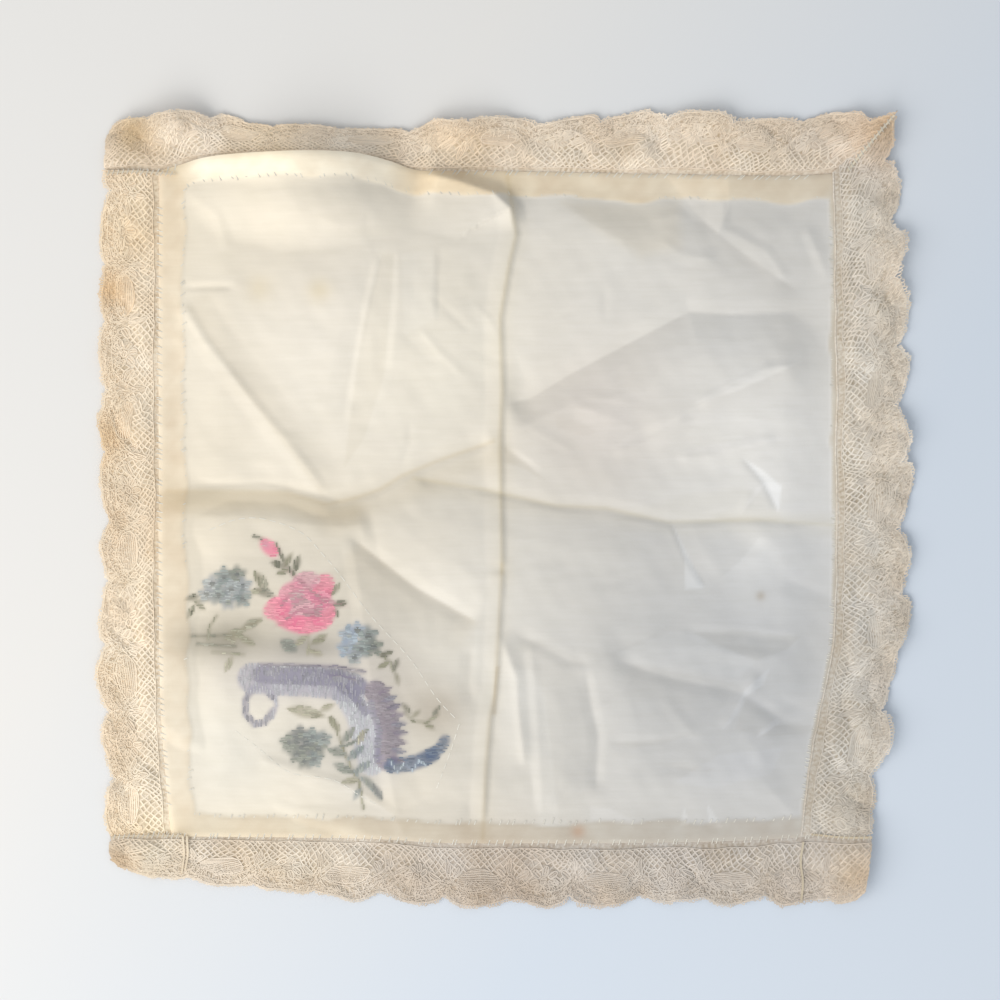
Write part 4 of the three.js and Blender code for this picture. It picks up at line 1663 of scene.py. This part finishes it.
def stitch_ends(start, reach):
    """Where the stitches that fill a stretch of a row start and end."""
    spread = random.uniform(-STITCH_COUNT_SPREAD, STITCH_COUNT_SPREAD)
    count = max(1, round(reach / STITCH_LENGTH + spread))
    ends = start + np.linspace(0, reach, count + 1)
    ends[1:-1] += random.uniform(-STITCH_END_SPREAD, STITCH_END_SPREAD, count - 1)
    return list(zip(ends, ends[1:]))


def filling_stitches(run):
    """Short stitches, laid along x or y, that fill the forms whose stitches run that way."""
    along = np.arange(*DESIGN_SPAN[run], STITCH_STEP)
    across = np.arange(*DESIGN_SPAN["y" if run == "x" else "x"], STITCH_PITCH)
    off, on = np.meshgrid(across, along, indexing="ij")
    numbers = form_numbers(on, off) if run == "x" else form_numbers(off, on)
    stitches = []
    for row, numbers_here in zip(across, numbers):
        for number, start, end in number_runs(numbers_here):
            if number < 0 or FORMS[number]["run"] != run:
                continue
            for from_here, to_here in stitch_ends(along[start], (end - start) * STITCH_STEP):
                near, far = row + random.uniform(-STITCH_SLANT, STITCH_SLANT, 2)
                stitches.append((from_here - STITCH_OVERLAP, near, to_here + STITCH_OVERLAP, far, number))
    found = np.array(stitches)
    return found if run == "x" else found[:, [1, 0, 3, 2, 4]]


def veil_share(x, y):
    """The lower left of the design is paler, as if seen through the silk."""
    low_left = smoothstep(VEIL_FROM[0] - x + VEIL_FROM[1] - y, 0, VEIL_REACH)
    patchy = np.clip(VEIL_PATCHY * np.abs(ripple_height(VEIL_SCALE * x, VEIL_SCALE * y)), 0, VEIL_PATCHY)
    return VEIL_LEAST + VEIL_LOW_LEFT * low_left + patchy


def design_tint(x, y, tint):
    """The design as it shows through the silk, with soft edges."""
    strength = DESIGN_STRENGTH * (1 - veil_share(x, y))
    # Hazes of soft colour, some of them painted shade.
    for haze in HAZE:
        off = ((x - haze["x"]) / haze["reach_x"]) ** 2 + ((y - haze["y"]) / haze["reach_y"]) ** 2
        tint = painted(tint, haze["cover"] * np.exp(-off), np.divide(haze["colour"], SILK_GROUND))
    for form in FORMS:
        cover = strength * smoothstep(form["depth"](x, y), -SOFT_EDGE, SOFT_EDGE)
        tint = painted(tint, cover, np.divide(THREAD[form["thread"]], SILK_GROUND))
    return tint


def laid_stitches(starts, ends, colours, width, height_at, rise, points=4):
    """Straight stitches that lie on the cloth."""
    plan = straight(starts, ends, points)
    height = height_at(plan[..., 0], plan[..., 1]) + rise
    return ribbons(np.dstack([plan, height]), width, colours)


def embroidery():
    stitches = np.concatenate([filling_stitches(run) for run in ("x", "y")])
    stitches = stitches[random.random(len(stitches)) < STITCHES_LEFT]
    starts, ends, numbers = stitches[:, 0:2], stitches[:, 2:4], stitches[:, 4].astype(int)
    colours = np.array([THREAD[form["thread"]] for form in FORMS])[numbers]
    colours = painted(colours, STITCH_VEIL + veil_share(starts[:, 0], starts[:, 1]), VEIL)
    colours = colours * np.exp(random.normal(0, STITCH_SHADES, (len(stitches), 1)))
    return laid_stitches(starts, ends, colours, STITCH_WIDTH, silk_height, STITCH_LIFT, 3)


# Sewing

# Cream stitches: how wide each kind is, how far it stands up, and its shades.
SEWING = {row["kind"]: row for row in table("""
    kind width rise shades
    running 0.3 0.06 0.8084,0.903
    hem 0.32 0.08 0.68,0.82
    whip 0.3 0.06 0.7,0.86
""")}


def cream_stitches(kind, starts, ends, height_at):
    sewing = SEWING[kind]
    starts, ends = np.concatenate(starts), np.concatenate(ends)
    colours = np.array(THREAD["cream"]) * random.uniform(*sewing["shades"], (len(starts), 1))
    return laid_stitches(starts, ends, colours, sewing["width"], height_at, sewing["rise"])


# The stitched outline of the patch
PATCH_RUNNING = named("""
    edge line
    upper -104,-8 -95,-4.4 -86,-4 -72,-9 -65,-16 -59,-23 -48,-37.5 -34,-53 -24.5,-67 -17,-75
    right -17,-75.6 -20,-85 -26,-101
    lower -95,-78 -87,-84 -76,-92.4 -61,-95 -51,-101 -43,-105.4
""")
RUNNING_STITCH = 2.3
RUNNING_GAP = 1.3


def running_stitches():
    starts, ends = [], []
    for line in PATCH_RUNNING.values():
        path = smooth_line(line)
        length = sum(math.dist(near, far) for near, far in zip(line, line[1:]))
        share = np.arange(0, length - RUNNING_STITCH, RUNNING_STITCH + RUNNING_GAP) / length
        starts.append(path(share))
        ends.append(path(share + RUNNING_STITCH / length))
    return cream_stitches("running", starts, ends, silk_height)


HEM_STITCH_PITCH = 3.3
HEM_STITCH_OUT = 0.5
HEM_STITCH_IN = 0.9
HEM_STITCH_SLANT = 0.7
HEM_UNEVEN_ALONG = 0.9
HEM_UNEVEN_IN = 0.35
HEM_CORNER = 1.2 * HEM_WIDTH


def hem_stitches():
    """Small slanting stitches over the inner edge of the hem on all four sides."""
    plan = plan_between(SILK_EDGE)
    wide, high = silk_size()
    starts, ends = [], []
    for hem in HEMS:
        upright = hem["side"] in ("left", "right")
        run, depth = (high, wide) if upright else (wide, high)
        along = np.arange(HEM_CORNER / run, 1 - HEM_CORNER / run, HEM_STITCH_PITCH / run)
        along = along + random.normal(0, HEM_UNEVEN_ALONG, len(along)) / run
        for place, reach, slant in ((starts, -HEM_STITCH_OUT, 0), (ends, HEM_STITCH_IN, HEM_STITCH_SLANT)):
            inwards = (hem["width"] + reach + random.normal(0, HEM_UNEVEN_IN, len(along))) / depth
            inwards = 1 - inwards if hem["side"] in ("right", "top") else inwards
            here = along + slant / run
            place.append(plan(inwards, here) if upright else plan(here, inwards))
    return cream_stitches("hem", starts, ends, hem_height)


WHIP_SHARES = (0.05, 0.95)
WHIP_PITCH = 2.9
WHIP_RUN = 250
WHIP_UNEVEN = 0.003
WHIP_IN = 1.3
WHIP_OUT = 1.2
WHIP_SLANT = 0.7
CURLED_UP = (-116, -28)


def whip_stitches():
    """Slanting stitches that hold the lace to the hem, apart from where its top edge curls up."""
    starts, ends = [], []
    for side in ("top", "right", "bottom", "left"):
        share = np.arange(*WHIP_SHARES, WHIP_PITCH / WHIP_RUN)
        share = share + random.normal(0, WHIP_UNEVEN, len(share))
        foot = smooth_line(sewn_line(side))(share)
        out = smooth_line(SCALLOP_LINE[side])(share) - foot
        out = out / np.linalg.norm(out, axis=1, keepdims=True)
        along = np.stack([out[:, 1], -out[:, 0]], -1)
        seated = (side != "top") | (foot[:, 0] < CURLED_UP[0]) | (foot[:, 0] > CURLED_UP[1])
        starts.append((foot - WHIP_IN * out)[seated])
        ends.append((foot + WHIP_OUT * out + WHIP_SLANT * along)[seated])
    return cream_stitches("whip", starts, ends, hem_height)


# Where two lengths of lace meet or lap at a corner.
LAPS = table("""
    tone edge line
    0.7,0.64,0.55 overcast -140.6,116.6 -131,117.2 -116,116.2
    0.62,0.56,0.48 overcast -138.6,-115.4 -128,-114.8 -114,-114.9
    0.8,0.74,0.66 plain -113.6,-115 -113.2,-121 -114,-128
    0.8,0.74,0.66 plain -112.2,-115 -111.9,-121 -112.8,-127
    0.55,0.5,0.42 overcast 106,-114.4 117,-115.2 126.6,-115
    0.6,0.56,0.49 plain 103.2,-117 102.3,-124 103,-131 102.4,-138
    0.7,0.66,0.6 overcast 118.6,117.4 126,126.6 134.2,136.2
""")
LAP_POINTS = 24
LAP_WIDTH = 0.7
LAP_RISE = 0.45
OVERCAST_PITCH = 1.7
OVERCAST_SHARES = (0.04, 0.96)
OVERCAST_HALF = 0.9
OVERCAST_SLANT = 0.4
OVERCAST_WIDTH = 0.34
OVERCAST_RISE = 0.6
OVERCAST_TONES = (0.595, 0.7)
SHARE_STEP = 0.02


def overcast(path, length):
    """Slanting stitches over a rolled edge."""
    share = np.arange(*OVERCAST_SHARES, OVERCAST_PITCH / length)
    middle = path(share)
    along = path(share + SHARE_STEP) - path(share - SHARE_STEP)
    along = along / np.linalg.norm(along, axis=1, keepdims=True)
    slant = OVERCAST_HALF * np.stack([-along[:, 1], along[:, 0]], -1) + OVERCAST_SLANT * along
    colours = random.uniform(*OVERCAST_TONES, (len(share), 1)) * np.ones(3)
    return laid_stitches(middle - slant, middle + slant, colours, OVERCAST_WIDTH, lace_height, OVERCAST_RISE)


def lap_seams():
    """A rolled edge along each lap, with stitches over it where it is sewn down."""
    shapes = []
    for lap in LAPS:
        path = smooth_line(lap["line"])
        plan = path(np.linspace(0, 1, LAP_POINTS))
        height = lace_height(plan[:, 0], plan[:, 1]) + LAP_RISE
        rolled = np.column_stack([plan, height])[None]
        shapes.append(ribbons(rolled, LAP_WIDTH, np.array([lap["tone"]])))
        if lap["edge"] == "overcast":
            shapes.append(overcast(path, math.dist(lap["line"][0], lap["line"][-1])))
    return joined(shapes)


# The stage
FLOOR_HALF = 3.0


def add_floor(material):
    mesh = bpy.data.meshes.new("floor")
    corners = [(x * FLOOR_HALF, y * FLOOR_HALF, 0) for x, y in ((-1, -1), (1, -1), (1, 1), (-1, 1))]
    mesh.from_pydata(corners, [], [(0, 1, 2, 3)])
    mesh.materials.append(material)
    floor = bpy.data.objects.new("floor", mesh)
    bpy.context.collection.objects.link(floor)


# Soft boxes: place, what they point at, width, power and colour.
SOFT_BOXES = table("""
    name at towards size power colour
    window -1.0,-0.42,0.8 0,0,0 1.15 12.1 1.0,0.95,0.875
    low_fill -0.5,-1.5,1.0 0,0,0 1.1 13.6 1.0,0.985,0.95
""")
SKY_COLOUR = (0.515, 0.545, 0.57)
SKY_STRENGTH = 1.0


def aim(thing, at, towards):
    direction = np.array(towards, float) - np.array(at, float)
    length = np.linalg.norm(direction)
    thing.location = at
    thing.rotation_euler = (math.acos(-direction[2] / length), 0, math.atan2(-direction[0], direction[1]))


def add_lights():
    for box in SOFT_BOXES:
        data = bpy.data.lights.new(box["name"], "AREA")
        data.size = box["size"]
        data.energy = box["power"]
        data.color = box["colour"]
        light = bpy.data.objects.new(box["name"], data)
        bpy.context.collection.objects.link(light)
        aim(light, box["at"], box["towards"])
    world = bpy.data.worlds.new("soft_sky")
    world.use_nodes = True
    background = world.node_tree.nodes["Background"]
    background.inputs["Color"].default_value = (*SKY_COLOUR, 1)
    background.inputs["Strength"].default_value = SKY_STRENGTH
    bpy.context.scene.world = world
    bpy.context.scene.view_settings.view_transform = "Standard"


CAMERA_HEIGHT = 0.75
VIEW_WIDTH = 0.35
VIEW_MIDDLE = (-2.8, 2.45)
SENSOR_WIDTH = 36


def add_camera():
    data = bpy.data.cameras.new("camera")
    data.sensor_width = SENSOR_WIDTH
    data.lens = SENSOR_WIDTH * CAMERA_HEIGHT / VIEW_WIDTH
    camera = bpy.data.objects.new("camera", data)
    bpy.context.collection.objects.link(camera)
    x, y = (VIEW_MIDDLE + OFFSET[:2]) * MM
    camera.location = (x, y, CAMERA_HEIGHT)
    bpy.context.scene.camera = camera


def build():
    silk = make_piece("silk_cloth", silk_panel(), silk_material(), ["silk_panel"])
    patch = make_piece("patch_cloth", patch_backing(), patch_material(), ["embroidered_patch"])
    lace, web, thread = lace_material(), web_material(), thread_material()
    for row in LACE_LENGTHS:
        node = "lace_" + row["side"]
        thread_shape, web_shape = lace_length(row)
        threads = make_piece(node + "_threads", thread_shape, lace, [node])
        sheet = make_piece(node + "_web", web_shape, web, [node])
    make_piece("embroidery", embroidery(), thread)
    make_piece("patch_running_stitches", running_stitches(), thread)
    make_piece("hem_stitches", hem_stitches(), thread)
    make_piece("whip_stitches", whip_stitches(), thread)
    make_piece("corner_laps", lap_seams(), lace)
    add_floor(floor_material())
    add_lights()
    add_camera()


build()
